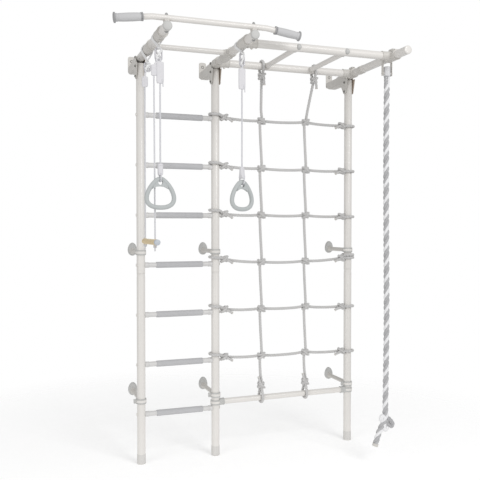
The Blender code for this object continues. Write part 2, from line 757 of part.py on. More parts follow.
def rail(name, forward, sleeve, ear_bolts):
    """Rail between the middle and the right arm: a T-clamp at each end, one of them with an ear on top."""
    middle, right = POST_X["middle"], POST_X["right"]
    length = right - middle
    half = [(ARM_RADIUS + 1, 0), (ARM_RADIUS + 1, BRANCH_RADIUS), (BRANCH_REACH, BRANCH_RADIUS),
            (BRANCH_REACH, RAIL_RADIUS)]
    profile = half + [(length - along, radius) for along, radius in reversed(half)]
    body = turned(profile, (middle, forward, ARM_Z), RIGHT, RAIL_SIDES)
    parts = []
    for x, side in ((middle, 1), (right, -1)):
        parts.append(arm_sleeve(x, sleeve, SLEEVE_RADIUS))
        parts.append(rod((x + side * NUT_OFFSET, forward, ARM_Z - BRANCH_RADIUS + 2), DOWN, NUT_HEIGHT + 2,
                         NUT_RADIUS, 6))
    rear, front = forward - EAR_LENGTH / 2, forward + EAR_LENGTH / 2
    ear_foot = ARM_Z + ARM_RADIUS + 1
    ear_top = ARM_Z + EAR_HEIGHT
    outline = [(rear, ear_foot), (front, ear_foot), (front - 3, ear_top - 4), (front - 8, ear_top), (rear + 8, ear_top),
               (rear + 3, ear_top - 4)]
    parts.append(plate_across_x(outline, right - EAR_HALF_WIDTH, right + EAR_HALF_WIDTH))
    for offset in ear_bolts:
        parts.append(through_bolt(right, forward + offset, ear_top - 7, EAR_HALF_WIDTH, 3, 4.5, 3))
    if name == "front_rail":
        for x in OVERHEAD_X.values():
            parts.append(turned([(RAIL_RADIUS - 1.4, 0), (RAIL_RADIUS - 1.4, DOME_RADIUS),
                                 (RAIL_RADIUS + DOME_HEIGHT, DOME_RADIUS * 0.6), (RAIL_RADIUS + DOME_HEIGHT, 0)],
                                (x, forward, ARM_Z), FORWARD, 6))
    fuse(body, parts)
    bore = rod((middle, forward, ARM_Z), RIGHT, length, RAIL_RADIUS - RAIL_WALL, BORE_SIDES)
    cut(body, [bore, arm_bore(middle, sleeve), arm_bore(right, sleeve)])
    return finish(body, name, PAINT)


def overhead_rung(side):
    """Overhead rung between the rails: collar at the rear, both ends saddled on the rails."""
    x = OVERHEAD_X[side]
    inner = OVERHEAD_RADIUS - OVERHEAD_WALL
    collar = REAR_RAIL + RAIL_RADIUS + COLLAR_LENGTH
    profile = [(REAR_RAIL + 8, inner), (REAR_RAIL + 8, COLLAR_RADIUS), (collar, COLLAR_RADIUS),
               (collar + 1, OVERHEAD_RADIUS), (FRONT_RAIL - 8, OVERHEAD_RADIUS), (FRONT_RAIL - 8, inner)]
    body = turned(profile, (x, 0, ARM_Z), FORWARD, RUNG_SIDES)
    saddle = matched_bore(RAIL_RADIUS, RAIL_SIDES)
    reach = 2 * COLLAR_RADIUS
    cut(body, [rod((x - reach, forward, ARM_Z), RIGHT, 2 * reach, saddle, RAIL_SIDES)
               for forward in (REAR_RAIL, FRONT_RAIL)])
    return finish(body, "overhead_rung_" + side, PAINT)


def pull_point(side, reach, beyond=0.0):
    """A point on the pull-up bar's axis, reach millimetres outside an arm; side is -1 left, 1 right."""
    x = POST_X["left"] if side < 0 else POST_X["middle"]
    slope = math.radians(PULL_BEND_DEGREES)
    bent = max(0.0, reach - PULL_STRAIGHT) + beyond
    return place(x + side * (min(reach, PULL_STRAIGHT) + bent * math.cos(slope)), PULL_FORWARD,
                 PULL_Z - bent * math.sin(slope))


def pull_up_bar():
    """Bar over the front ends of two arms, its ends bent down, on saddles with a through bolt each."""
    end = HANDLE_START + HANDLE_LENGTH - 2 * HANDLE_END_WALL
    stations = (0, PULL_STRAIGHT - 12, PULL_STRAIGHT + 12, end)
    route = [pull_point(-1, reach) for reach in reversed(stations)] + [pull_point(1, reach) for reach in stations]
    body = tube_along(route, PULL_RADIUS, resolution=3)
    parts = []
    for x in (POST_X["left"], POST_X["middle"]):
        parts.append(block((x - 11, x + 11), (PULL_FORWARD - 11, PULL_FORWARD + 11), (ARM_Z + 8, PULL_Z - 4)))
    fuse(body, parts)
    cut(body, [arm_bore(x, (PULL_FORWARD - 20, PULL_FORWARD + 20)) for x in (POST_X["left"], POST_X["middle"])])
    hollow = [pull_point(-1, end, 20)] + route[1:-1] + [pull_point(1, end, 20)]
    cut(body, [tube_along(hollow, PULL_RADIUS - PULL_WALL, resolution=2)])
    bolts = []
    for x in (POST_X["left"], POST_X["middle"]):
        foot = -ARM_RADIUS - 5
        top = PULL_Z - ARM_Z + PULL_RADIUS
        profile = [(foot, 0), (foot, 4), (-ARM_RADIUS - GAP, 7), (-ARM_RADIUS - GAP, BRACKET_BOLT_RADIUS),
                   (top - 1, BRACKET_BOLT_RADIUS), (top - 1, 7), (top + 2, 7), (top + 6, 3.5), (top + 6, 0)]
        bolts.append(turned(profile, (x, PULL_FORWARD, ARM_Z), UP, BOLT_SIDES))
    fuse(body, bolts)
    return finish(body, "pull_up_bar", PAINT)


def bar_grip(name, side):
    """Hand grip on a bent end: inner rim, crowned body and closed end flange."""
    slope = math.radians(PULL_BEND_DEGREES)
    start = pull_point(side, HANDLE_START)
    hole = bore_radius(PULL_RADIUS, HANDLE_SIDES)
    length = HANDLE_LENGTH
    middle = length * 0.45
    profile = [(0, hole), (0, HANDLE_RADIUS + 1.5), (4, HANDLE_RADIUS + 1.5), (6, HANDLE_RADIUS - 0.5),
               (middle, HANDLE_RADIUS + HANDLE_CROWN), (length - 9, HANDLE_RADIUS - 1),
               (length - 6, HANDLE_END_RADIUS), (length - 1, HANDLE_END_RADIUS), (length, HANDLE_END_RADIUS - 2),
               (length, 0), (length - HANDLE_END_WALL, 0), (length - HANDLE_END_WALL, hole)]
    body = turned(profile, (start.x, -start.y, start.z), (side * math.cos(slope), 0, -math.sin(slope)), HANDLE_SIDES)
    return finish(body, name, HANDLE_GREY)


def net_bar():
    """Bar that holds the net's lower edge: a ring clamp and a tee on each post."""
    ends = {post: Vector((POST_X[post], 0, NET_BAR_Z[post])) for post in NET_BAR_Z}
    left, right = ends["middle"], ends["right"]
    along = (right - left).normalized()
    length = (right - left).length
    direction = (along.x, 0, along.z)
    origin = (left.x, 0, left.z)
    tee_root = CLAMP_RADIUS - 2.5
    half = [(tee_root, 0), (tee_root, NET_TEE_RADIUS), (NET_TEE_REACH, NET_TEE_RADIUS), (NET_TEE_REACH, NET_BAR_RADIUS)]
    profile = half + [(length - x, radius) for x, radius in reversed(half)]
    body = turned(profile, origin, direction, RUNG_SIDES)
    parts = []
    for post, side in ((left, 1), (right, -1)):
        parts.append(post_clamp(post.x, post.z))
        bolt_x = post.x + side * (NET_TEE_REACH - 8)
        parts.append(turned([(NET_TEE_RADIUS - 4, 0), (NET_TEE_RADIUS - 4, 5), (NET_TEE_RADIUS + 3, 3.5),
                             (NET_TEE_RADIUS + 3, 0)], (bolt_x, 0, post.z), FORWARD, BOLT_SIDES))
    fuse(body, parts)
    bore = rod(origin, direction, length, NET_BAR_RADIUS - NET_BAR_WALL, BORE_SIDES)
    cut(body, [bore, post_bore(left.x, left.z, 20), post_bore(right.x, right.z, 20)])
    return finish(body, "net_bar", PAINT)


def loop_corners(bar_radius, knot_distance, steps=5):
    """Corner radius of a rope loop round a bar, and its angles from where it leaves for its knot and back."""
    clear = bar_radius + NET_ROPE / 2 + GAP
    radius = clear
    for attempt in range(4):
        wrap = math.pi - math.acos(radius / knot_distance)
        radius = clear / math.cos(wrap / steps)
    return radius, [math.pi - wrap + 2 * wrap * step / steps for step in range(steps + 1)]


def post_loop(x, side, z_near, z_far, knot_reach, z_knot):
    """Rope loop round a post from its knot and back; side is 1 where the knot lies to the right of the post."""
    radius, angles = loop_corners(POST_RADIUS, knot_reach)
    points = []
    for angle in angles:
        reach = radius * math.cos(angle)
        share = (radius - reach) / (2 * radius)
        points.append(place(x + side * reach, radius * math.sin(angle), z_near + (z_far - z_near) * (share * 2 - 1)))
    points.append(place(x + side * knot_reach, 0, z_knot))
    return tube_along(points, NET_ROPE / 2, closed=True)


def bar_loop(x, forward, z, bar_radius, knot):
    """Rope loop round a bar along X from a knot above or below it, closed at the knot."""
    up = 1 if knot > z else -1
    radius, angles = loop_corners(bar_radius, abs(knot - z))
    points = []
    for angle in angles:
        points.append(place(x, forward + radius * math.sin(angle), z + up * radius * math.cos(angle)))
    points.append(place(x, forward, knot))
    return tube_along(points, NET_ROPE / 2, closed=True)


def net_bar_height(x):
    share = x / NET_WIDTH
    return NET_BAR_Z["middle"] + (NET_BAR_Z["right"] - NET_BAR_Z["middle"]) * share


def knotted(stations, knots):
    """Points and swellings of a rope through stations, with a knot at each station that knots names."""
    points = []
    swell = []
    for index, station in enumerate(stations):
        if index not in knots:
            points.append(station)
            swell.append(1)
            continue
        near = [stations[k] for k in (index - 1, index + 1) if 0 <= k < len(stations)]
        before = (station - near[0]).normalized() if index else (near[-1] - station).normalized()
        after = (near[-1] - station).normalized() if index + 1 < len(stations) else before
        points += [station - before * NET_KNOT, station, station + after * NET_KNOT]
        swell += [1, KNOT_SWELL, 1]
    return points, swell


def climbing_net():
    """Rope net: two uprights, six cross ropes, a knot at each crossing and a loop at each end."""
    rope = NET_ROPE / 2
    right_knot_x = POST_X["right"] - NET_RIGHT_KNOT_INSET
    parts = []
    for index, row in enumerate(NET_ROWS):
        z_post, z_left, z_first, z_second, z_right, z_end = row
        span = [(NET_LEFT_KNOT_X, z_left), (NET_COLUMN_X[0], z_first), (NET_COLUMN_X[1], z_second),
                (right_knot_x, z_right)]
        points, swell = knotted([place(x, 0, z) for x, z in span], range(len(span)))
        parts.append(tube_along(points, rope, swell=swell))
        parts.append(post_loop(0, 1, z_post, z_post + NET_LOOP_RISE, NET_LEFT_KNOT_X, z_left))
        parts.append(post_loop(POST_X["right"], -1, z_end, z_end, NET_RIGHT_KNOT_INSET, z_right))
        if index == NET_DOUBLE_ROW:
            z_double = z_end + NET_DOUBLE_RISE
            parts.append(post_loop(POST_X["right"], -1, z_double, z_double, NET_RIGHT_KNOT_INSET,
                                   z_right + NET_DOUBLE_RISE * 0.7))
    uprights = []
    beside_collar = COLLAR_RADIUS + rope + NET_TOP_PLAY
    top_places = (OVERHEAD_X["left"] - beside_collar, OVERHEAD_X["right"] + beside_collar)
    for column, top_x in enumerate(top_places):
        x = NET_COLUMN_X[column]
        heights = [row[2 + column] for row in NET_ROWS]
        stations = [place(top_x, REAR_RAIL, NET_TOP_KNOT)]
        stations.append(place((top_x + x) / 2, REAR_RAIL * 0.45, (NET_TOP_KNOT + heights[0]) / 2))
        stations += [place(x, 0, z) for z in heights + [NET_BOTTOM_KNOT]]
        points, swell = knotted(stations, (0, len(stations) - 1))
        uprights.append(tube_along(points, rope, swell=swell))
        parts.append(bar_loop(top_x, REAR_RAIL, ARM_Z, RAIL_RADIUS, NET_TOP_KNOT))
        parts.append(bar_loop(x, 0, net_bar_height(x), NET_BAR_RADIUS, NET_BOTTOM_KNOT))
        parts.append(tube_along([place(top_x, REAR_RAIL, NET_TOP_KNOT),
                                 place(top_x + 12, REAR_RAIL + 14, NET_TOP_KNOT - NET_TAIL)], rope * 0.9,
                                resolution=0))
    body = combine(uprights[0], uprights[1:] + parts, "UNION", self_crossing=True, weld=NET_WELD)
    return finish(body, "climbing_net", ROPE_GREY)


def link_wire_heights(sling):
    """Heights of the wire's centre in the link's upper and lower bow."""
    top, bottom = SLINGS[sling][3:5]
    return top - WIRE_RADIUS, bottom + WIRE_RADIUS


def sling(name):
    """Webbing loop round an arm, drawn down to an eye that holds the link's upper bow."""
    post, at_arm, at_link = SLINGS[name][:3]
    x = POST_X[post]
    wire_top = link_wire_heights(name)[0]
    eye_z = wire_top + EYE_PLAY - GAP
    eye_hole = WIRE_RADIUS + EYE_PLAY
    eye_outer = eye_hole + EYE_WALL
    apex = eye_z + eye_outer - EYE_WALL * 0.5
    seat = SPLICE_RADIUS if name == "left_rear" else ARM_RADIUS
    arc_steps = 9
    inner_radius = (seat + GAP) / math.cos(math.radians(15.5))
    outer_radius = inner_radius + SLING_THICKNESS
    inner = [(0.8, apex + 7)]
    outer = [(3.8, apex)]
    leave = math.acos(inner_radius / (ARM_Z - apex - 7)) - math.pi / 2
    for step in range(arc_steps + 1):
        angle = leave + (math.pi - 2 * leave) * step / arc_steps
        inner.append((inner_radius * math.cos(angle), ARM_Z + inner_radius * math.sin(angle)))
        outer.append((outer_radius * math.cos(angle), ARM_Z + outer_radius * math.sin(angle)))
    inner.append((-0.8, apex + 7))
    outer.append((-3.8, apex))
    drop = ARM_Z - eye_z

    def edge(outline, offset):
        ring = []
        for dx, z in outline:
            slide = (at_link - at_arm) * max(0.0, (ARM_Z - z) / drop)
            ring.append(place(x + dx, at_arm + slide + offset, z))
        return ring

    half = SLING_WIDTH / 2
    body = loft([edge(outer, -half), edge(outer, half), edge(inner, half), edge(inner, -half)], closed=True)
    eye = turned([(-EYE_HALF_LENGTH, eye_outer), (EYE_HALF_LENGTH, eye_outer), (EYE_HALF_LENGTH, eye_hole),
                  (-EYE_HALF_LENGTH, eye_hole)], (x, at_link, eye_z), RIGHT, EYE_SIDES)
    fuse(body, [eye])
    return finish(body, name + "_sling", WEBBING)


def link(name):
    """Steel link: a wire bent to a tall rounded frame."""
    post, at_arm, at_link = SLINGS[name][:3]
    half_width = SLINGS[name][5] - WIRE_RADIUS
    top, bottom = link_wire_heights(name)
    corners = [(half_width, bottom), (half_width, top), (-half_width, top), (-half_width, bottom)]
    outline = rounded(corners, LINK_CORNER, 1)
    points = [place(POST_X[post] + dx, at_link, z) for dx, z in outline]
    body = tube_along(points, WIRE_RADIUS, closed=True)
    return finish(body, name + "_link", STEEL)


def flat_section(x, forward, z, width, depth):
    """Rounded section of a flat sleeve, eight points."""
    ring = []
    for i in range(8):
        angle = 2 * math.pi * (i + 0.5) / 8
        dx = math.copysign(abs(math.cos(angle)) ** 0.6, math.cos(angle)) * width / 2
        df = math.copysign(abs(math.sin(angle)) ** 0.6, math.sin(angle)) * depth / 2
        ring.append(place(x + dx, forward + df, z))
    return ring


def cord_eye(x, forward, wire_z):
    """Eye of cord on the link's lower bow, and the height of its own lowest point."""
    hole = WIRE_RADIUS + EYE_PLAY
    outer = hole + EYE_WALL
    z = wire_z - EYE_PLAY + GAP
    profile = [(-CORD_RADIUS, outer), (CORD_RADIUS, outer), (CORD_RADIUS, hole), (-CORD_RADIUS, hole)]
    return turned(profile, (x, forward, z), RIGHT, EYE_SIDES), z - outer


def ring_place(side):
    """Where a ring's cord hangs: its x, forward, the lower bow's height and the ring's own bottom."""
    sling_name, offset, bottom, turn = RINGS[side]
    x = POST_X[SLINGS[sling_name][0]] + offset
    return x, SLINGS[sling_name][2], link_wire_heights(sling_name)[1], bottom, turn


def ring_sleeve_span(side):
    bottom = ring_place(side)[3] + RING_HEIGHT + RING_SLEEVE_RISE
    return bottom, bottom + RING_SLEEVE_HEIGHT


def ring_cord(side):
    """Ring's cord: an eye on the link, the flat adjuster under it and the cord down to the ring's sleeve."""
    x, forward, wire, bottom, turn = ring_place(side)
    eye, eye_bottom = cord_eye(x, forward, wire)
    low, high = RING_ADJUSTER
    neck = CORD_RADIUS * 2 + 3
    rings = [flat_section(x, forward, low, RING_ADJUSTER_WIDTH - 8, RING_ADJUSTER_DEPTH),
             flat_section(x, forward, low + 8, RING_ADJUSTER_WIDTH, RING_ADJUSTER_DEPTH),
             flat_section(x, forward, high - 10, RING_ADJUSTER_WIDTH, RING_ADJUSTER_DEPTH),
             flat_section(x, forward, high, neck, RING_ADJUSTER_DEPTH),
             flat_section(x, forward, eye_bottom + EYE_WALL * 0.6, neck - 3, CORD_RADIUS * 2)]
    body = loft(rings)
    sleeve_top = ring_sleeve_span(side)[1] + GAP
    fuse(body, [eye, rod((x, forward, sleeve_top), UP, low + 5 - sleeve_top, CORD_RADIUS, 6)])
    return finish(body, side + "_ring_cord", CORD_WHITE)


def ring_sleeve(side):
    """Sewn sleeve and the loop of cord that passes through the ring's hole."""
    x, forward, wire, bottom, turn = ring_place(side)
    low, high = ring_sleeve_span(side)
    side_reach = RING_TUBE + RING_LOOP_RADIUS + 1.2
    rings = [flat_section(x, forward, low, RING_LOOP_RADIUS * 2 + 3, 2 * side_reach + 4),
             flat_section(x, forward, low + RING_SLEEVE_HEIGHT * 0.4, RING_SLEEVE_WIDTH, RING_SLEEVE_DEPTH + 6),
             flat_section(x, forward, high - 6, RING_SLEEVE_WIDTH, RING_SLEEVE_DEPTH),
             flat_section(x, forward, high, RING_SLEEVE_WIDTH - 6, RING_SLEEVE_DEPTH - 3)]
    body = loft(rings)
    ring_top = bottom + RING_HEIGHT
    hole_z = ring_top - RING_HOLE_DROP
    under = hole_z + RING_HOLE_RADIUS * 0.96 - GAP - RING_LOOP_RADIUS - 0.4
    route = [place(x, forward - side_reach, low + 6), place(x, forward - side_reach, ring_top - 9),
             place(x, forward - side_reach + 3, under + 2.5), place(x, forward - 5, under),
             place(x, forward + 5, under), place(x, forward + side_reach - 3, under + 2.5),
             place(x, forward + side_reach, ring_top - 9), place(x, forward + side_reach, low + 6)]
    fuse(body, [tube_along(route, RING_LOOP_RADIUS)])
    turn_about(body, x, forward, turn)
    return finish(body, side + "_ring_sleeve", CORD_WHITE)


def turn_about(obj, x, forward, degrees):
    """Turn a piece about the upright line through a point."""
    centre = place(x, forward, 0) * MM
    obj.data.transform(Matrix.Translation(-centre))
    obj.data.transform(Matrix.Rotation(math.radians(degrees), 4, "Z"))
    obj.data.transform(Matrix.Translation(centre))


def ring(side):
    """Gym ring: flat-bottomed, straight limbs to a pointed top, with a web round the cord's hole."""
    x, forward, wire, bottom, turn = ring_place(side)
    half = RING_HALF_WIDTH - RING_TUBE
    low = bottom + RING_TUBE
    top = bottom + RING_HEIGHT - RING_TUBE
    widest = bottom + RING_WIDEST
    right_side = [(half * 0.42, low), (half * 0.78, low + 9), (half, widest), (half * 0.86, widest + 30),
                  (half * 0.46, top - 20)]
    outline = [(0, low)] + right_side + [(0, top)] + [(-dx, z) for dx, z in reversed(right_side)]
    route = smooth_route([place(x + dx, forward, z) for dx, z in outline], 2, closed=True)
    body = tube_along(route, RING_TUBE, closed=True, resolution=2)
    outer_top = bottom + RING_HEIGHT
    foot = outer_top - RING_WEB_DEPTH
    web = [(x - half * 0.72, foot - 8), (x, foot), (x + half * 0.72, foot - 8), (x + half * 0.34, top - 6),
           (x, top + 5), (x - half * 0.34, top - 6)]
    fuse(body, [plate_across_forward(web, forward - RING_WEB_HALF, forward + RING_WEB_HALF)])
    hole_z = outer_top - RING_HOLE_DROP
    cut(body, [rod((x, forward - 3 * RING_TUBE, hole_z), FORWARD, 6 * RING_TUBE, RING_HOLE_RADIUS, 12)])
    turn_about(body, x, forward, turn)
    return finish(body, side + "_ring", RING_GREY)


def trapeze_end(which):
    """Centre of the round end of a trapeze cord, just above the bar."""
    forward = TRAPEZE_FRONT_CORD if which == "front" else TRAPEZE_REAR_CORD
    return POST_X["left"] + TRAPEZE_X, forward, TRAPEZE_Z + TRAPEZE_RADIUS + DIMPLE_RISE


def trapeze_cord(which):
    """Trapeze cord: an eye on the link, a narrow adjuster and the cord down to the bar, its end rounded."""
    sling_name, offset, low, high, width = TRAPEZE_ADJUSTERS[which]
    arm_x = POST_X["left"]
    at_link = SLINGS[sling_name][2]
    wire = link_wire_heights(sling_name)[1]
    end_x, end_forward, end_z = trapeze_end(which)
    eye_x = arm_x + TRAPEZE_EYE_X
    eye, eye_bottom = cord_eye(eye_x, at_link, wire)
    adjuster_x = arm_x + offset

    def forward_at(z):
        return at_link + (end_forward - at_link) * (wire - z) / (wire - end_z)

    neck = CORD_RADIUS * 2 + 1
    rings = [flat_section(adjuster_x, forward_at(low), low, neck, TRAPEZE_ADJUSTER_DEPTH),
             flat_section(adjuster_x, forward_at(low + 7), low + 7, width, TRAPEZE_ADJUSTER_DEPTH),
             flat_section(adjuster_x, forward_at(high - 12), high - 12, width, TRAPEZE_ADJUSTER_DEPTH),
             flat_section((adjuster_x + eye_x) / 2 - 1, forward_at(high), high, neck, CORD_RADIUS * 2),
             flat_section(eye_x, at_link, eye_bottom + EYE_WALL * 0.6, neck - 1, CORD_RADIUS * 2)]
    body = loft(rings)
    start = place(adjuster_x, forward_at(low + 4), low + 4)
    end = place(end_x, end_forward, end_z)
    line = end - start
    length = line.length
    cap = CORD_RADIUS
    profile = [(0, 0), (0, cap), (length, cap), (length + cap * 0.5, cap * 0.866), (length + cap * 0.87, cap * 0.5),
               (length + cap, 0)]
    strand = turned(profile, (start.x, -start.y, start.z), (line.x, -line.y, line.z), 8)
    fuse(body, [eye, strand])
    return finish(body, "trapeze_%s_cord" % which, CORD_WHITE)


def trapeze_bar():
    """Wooden bar with a front end cap; the cords sit in dimples on top, and their knots hold it from below."""
    x = POST_X["left"] + TRAPEZE_X
    cap = TRAPEZE_FRONT - TRAPEZE_CAP
    radius = TRAPEZE_RADIUS
    profile = [(TRAPEZE_REAR, 0), (TRAPEZE_REAR, radius - 2), (TRAPEZE_REAR + 3, radius), (cap - 1, radius),
               (cap - 1, radius - 0.8), (cap, radius - 0.8), (cap, radius), (TRAPEZE_FRONT - 3, radius),
               (TRAPEZE_FRONT, radius - 3), (TRAPEZE_FRONT, 0)]
    body = turned(profile, (x, 0, TRAPEZE_Z), FORWARD, HANDLE_SIDES)
    knots = []
    for which in ("front", "rear"):
        forward = trapeze_end(which)[1]
        knot_z = TRAPEZE_Z - TRAPEZE_RADIUS - TRAPEZE_KNOT * 0.6
        knots.append(ball((x, forward, knot_z), (TRAPEZE_KNOT, TRAPEZE_KNOT, TRAPEZE_KNOT), 6, 4))
        knots.append(rod((x, forward, knot_z), DOWN, TRAPEZE_TAIL, CORD_RADIUS, 6))
    fuse(body, knots)
    dimples = []
    for which, play in (("front", 0.9), ("rear", 1.9)):
        end_x, forward, z = trapeze_end(which)
        wide = CORD_RADIUS + play
        dimples.append(ball((end_x, forward, z), (wide, wide, CORD_RADIUS + 0.9), 8, 4))
    cut(body, dimples)
    return finish(body, "trapeze_bar", WOOD)


def rope_yoke():
    """Hanger of the climbing rope: a strap over the arm, two legs and the pin between them."""
    x = POST_X["right"]
    reach = YOKE_HALF_WIDTH - YOKE_THICKNESS / 2
    seat = (ARM_RADIUS + GAP) / math.cos(math.radians(10))
    foot = PIN_Z - YOKE_FOOT
    inner = [(reach, foot), (reach, ARM_Z - 4)]
    outer = [(reach + YOKE_THICKNESS, foot), (reach + YOKE_THICKNESS, ARM_Z - 4)]
    for degrees in range(30, 151, 20):
        angle = math.radians(degrees)
        inner.append((seat * math.cos(angle) * 1.12, ARM_Z + seat * math.sin(angle)))
        outer.append(((seat + YOKE_THICKNESS) * math.cos(angle) * 1.15, ARM_Z + (seat + YOKE_THICKNESS) * math.sin(angle)))
    inner += [(-reach, ARM_Z - 4), (-reach, foot)]
    outer += [(-reach - YOKE_THICKNESS, ARM_Z - 4), (-reach - YOKE_THICKNESS, foot)]
    outline = [(x + dx, z) for dx, z in outer + list(reversed(inner))]
    body = plate_across_forward(outline, ROPE_FORWARD - YOKE_DEPTH / 2, ROPE_FORWARD + YOKE_DEPTH / 2)
    pin = through_bolt(x, ROPE_FORWARD, PIN_Z, YOKE_HALF_WIDTH + YOKE_THICKNESS / 2, PIN_RADIUS, 7, 3)
    head_start = reach + YOKE_THICKNESS - 1
    head = turned([(head_start, 0), (head_start, 6), (head_start + 3, 6), (head_start + 5, 3), (head_start + 5, 0)],
                  (x, ROPE_FORWARD, ARM_Z - 8), (-1, 0, 0), 8)
    fuse(body, [pin, head])
    return finish(body, "rope_yoke", CLAMP_GREY)


def rope_ferrule():
    """Rounded sheath of the rope's eye, on the hanger's pin."""
    x = POST_X["right"]
    corners = [(ROPE_FORWARD - SHEATH_HALF_DEPTH, SHEATH_BOTTOM), (ROPE_FORWARD + SHEATH_HALF_DEPTH, SHEATH_BOTTOM),
               (ROPE_FORWARD + SHEATH_HALF_DEPTH, SHEATH_TOP), (ROPE_FORWARD - SHEATH_HALF_DEPTH, SHEATH_TOP)]
    outline = rounded(corners, 8, 2)
    middle = (SHEATH_TOP + SHEATH_BOTTOM) / 2
    narrow = [(ROPE_FORWARD + (f - ROPE_FORWARD) * 0.8, middle + (z - middle) * 0.92) for f, z in outline]
    rings = []
    for dx, shape in ((-SHEATH_HALF_WIDTH, narrow), (-SHEATH_HALF_WIDTH + 3, outline),
                      (SHEATH_HALF_WIDTH - 3, outline), (SHEATH_HALF_WIDTH, narrow)):
        rings.append([place(x + dx, f, z) for f, z in shape])
    body = loft(rings)
    span = SHEATH_HALF_WIDTH + 5
    cut(body, [rod((x - span, ROPE_FORWARD, PIN_Z), RIGHT, 2 * span, bore_radius(PIN_RADIUS, 12), 12)])
    return finish(body, "rope_ferrule", CLAMP_GREY)


def climbing_rope():
    """Climbing rope: two strands out of the sheath, the laid rope, a knot near the end and the rope's end."""
    x = POST_X["right"]
    route = [place(x, ROPE_FORWARD, z) for z in (ROPE_NECK + 3, ROPE_NECK - 400, ROPE_NECK - 800, ROPE_NECK - 1200,
                                                 ROPE_KNOT_Z, ROPE_BOTTOM)]
    body = tube_along(route, ROPE_RADIUS, resolution=3)
    parts = []
    for side in (-1, 1):
        parts.append(tube_along([place(x + side * ROPE_STRAND_X, ROPE_FORWARD, SHEATH_BOTTOM - GAP),
                                 place(x + side * ROPE_STRAND_X, ROPE_FORWARD, ROPE_NECK + 12),
                                 place(x + side * ROPE_STRAND_X * 0.6, ROPE_FORWARD, ROPE_NECK - 12)],
                                ROPE_STRAND, resolution=2))
    knot = [(-1.0, 0), (-1.0, 0.5), (-0.62, 0.92), (-0.15, 1.0), (0.05, 0.9), (0.25, 1.0), (0.66, 0.9), (1.0, 0.5),
            (1.0, 0)]
    profile = [(along * ROPE_KNOT_HALF_HEIGHT, radius * ROPE_KNOT_RADIUS) for along, radius in knot]
    parts.append(turned(profile, (x, ROPE_FORWARD, ROPE_KNOT_Z), UP, 10))
    fuse(body, parts)
    return finish(body, "climbing_rope", ROPE_GREY)


def build_frame():
    for post in POST_X:
        lower_post(post)
        upper_post(post)
        wall_bracket(post)
        arm(post)
        for level in STANDOFF_HEIGHT:
            standoff(level, post)
    for number, z in enumerate(rung_heights(), start=1):
        rung(number, z)
        rung_grip(number, z)
    cross_tube()
    rail("rear_rail", REAR_RAIL, REAR_SLEEVE, (0,))
    rail("front_rail", FRONT_RAIL, FRONT_SLEEVE, (-9, 9))
    for side in OVERHEAD_X:
        overhead_rung(side)
    pull_up_bar()
    bar_grip("bar_grip_left", -1)
    bar_grip("bar_grip_right", 1)
    net_bar()
    climbing_net()


def build_slings():
    """Slings with their links, each on a pivot on its arm's axis."""
    pivots = {}
    for name, (post, at_arm, at_link, top, bottom, half) in SLINGS.items():
        centre = (POST_X[post], at_arm, ARM_Z)
        pivots[name] = joint_pivot(name + "_sling_pivot", centre)
        hang(sling(name), centre, pivots[name])
        hang(link(name), centre, pivots[name])
    return pivots


def build_rings(pivots):
    """Cord, sleeve and ring under each front sling: the cord tips on the link's bow, the ring turns under it."""
    for side, (sling_name, offset, bottom, turn) in RINGS.items():
        x, forward, wire, bottom, turn = ring_place(side)
        cord_pivot = joint_pivot(side + "_ring_cord_pivot", (x, forward, wire), pivots[sling_name])
        hang(ring_cord(side), (x, forward, wire), cord_pivot)
        swivel = (x, forward, ring_sleeve_span(side)[1])
        ring_pivot = joint_pivot(side + "_ring_pivot", swivel, cord_pivot)
        hang(ring_sleeve(side), swivel, ring_pivot)
        hang(ring(side), swivel, ring_pivot)


def build_trapeze(pivots):
    """Two cords that tip on their links, and the bar that turns on the front cord's end."""
    cord_pivots = {}
    for which, adjuster in TRAPEZE_ADJUSTERS.items():
        sling_name = adjuster[0]
        point = (POST_X["left"] + TRAPEZE_EYE_X, SLINGS[sling_name][2], link_wire_heights(sling_name)[1])
        cord_pivots[which] = joint_pivot("trapeze_%s_cord_pivot" % which, point, pivots[sling_name])
        hang(trapeze_cord(which), point, cord_pivots[which])
    end = trapeze_end("front")
    hang(trapeze_bar(), end, joint_pivot("trapeze_bar_pivot", end, cord_pivots["front"]))


def build_rope():
    """Hanger that tips on the arm, and the rope that tips on the hanger's pin."""
    x = POST_X["right"]
    yoke_pivot = joint_pivot("rope_yoke_pivot", (x, ROPE_FORWARD, ARM_Z))
    hang(rope_yoke(), (x, ROPE_FORWARD, ARM_Z), yoke_pivot)
    pin = (x, ROPE_FORWARD, PIN_Z)
    rope_pivot = joint_pivot("climbing_rope_pivot", pin, yoke_pivot)
    hang(rope_ferrule(), pin, rope_pivot)
    hang(climbing_rope(), pin, rope_pivot)


def main():
    clear_scene()
    build_frame()
    pivots = build_slings()
    build_rings(pivots)
    build_trapeze(pivots)
    build_rope()


main()
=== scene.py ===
import math

import bmesh
import bpy
from mathutils import Matrix, Vector


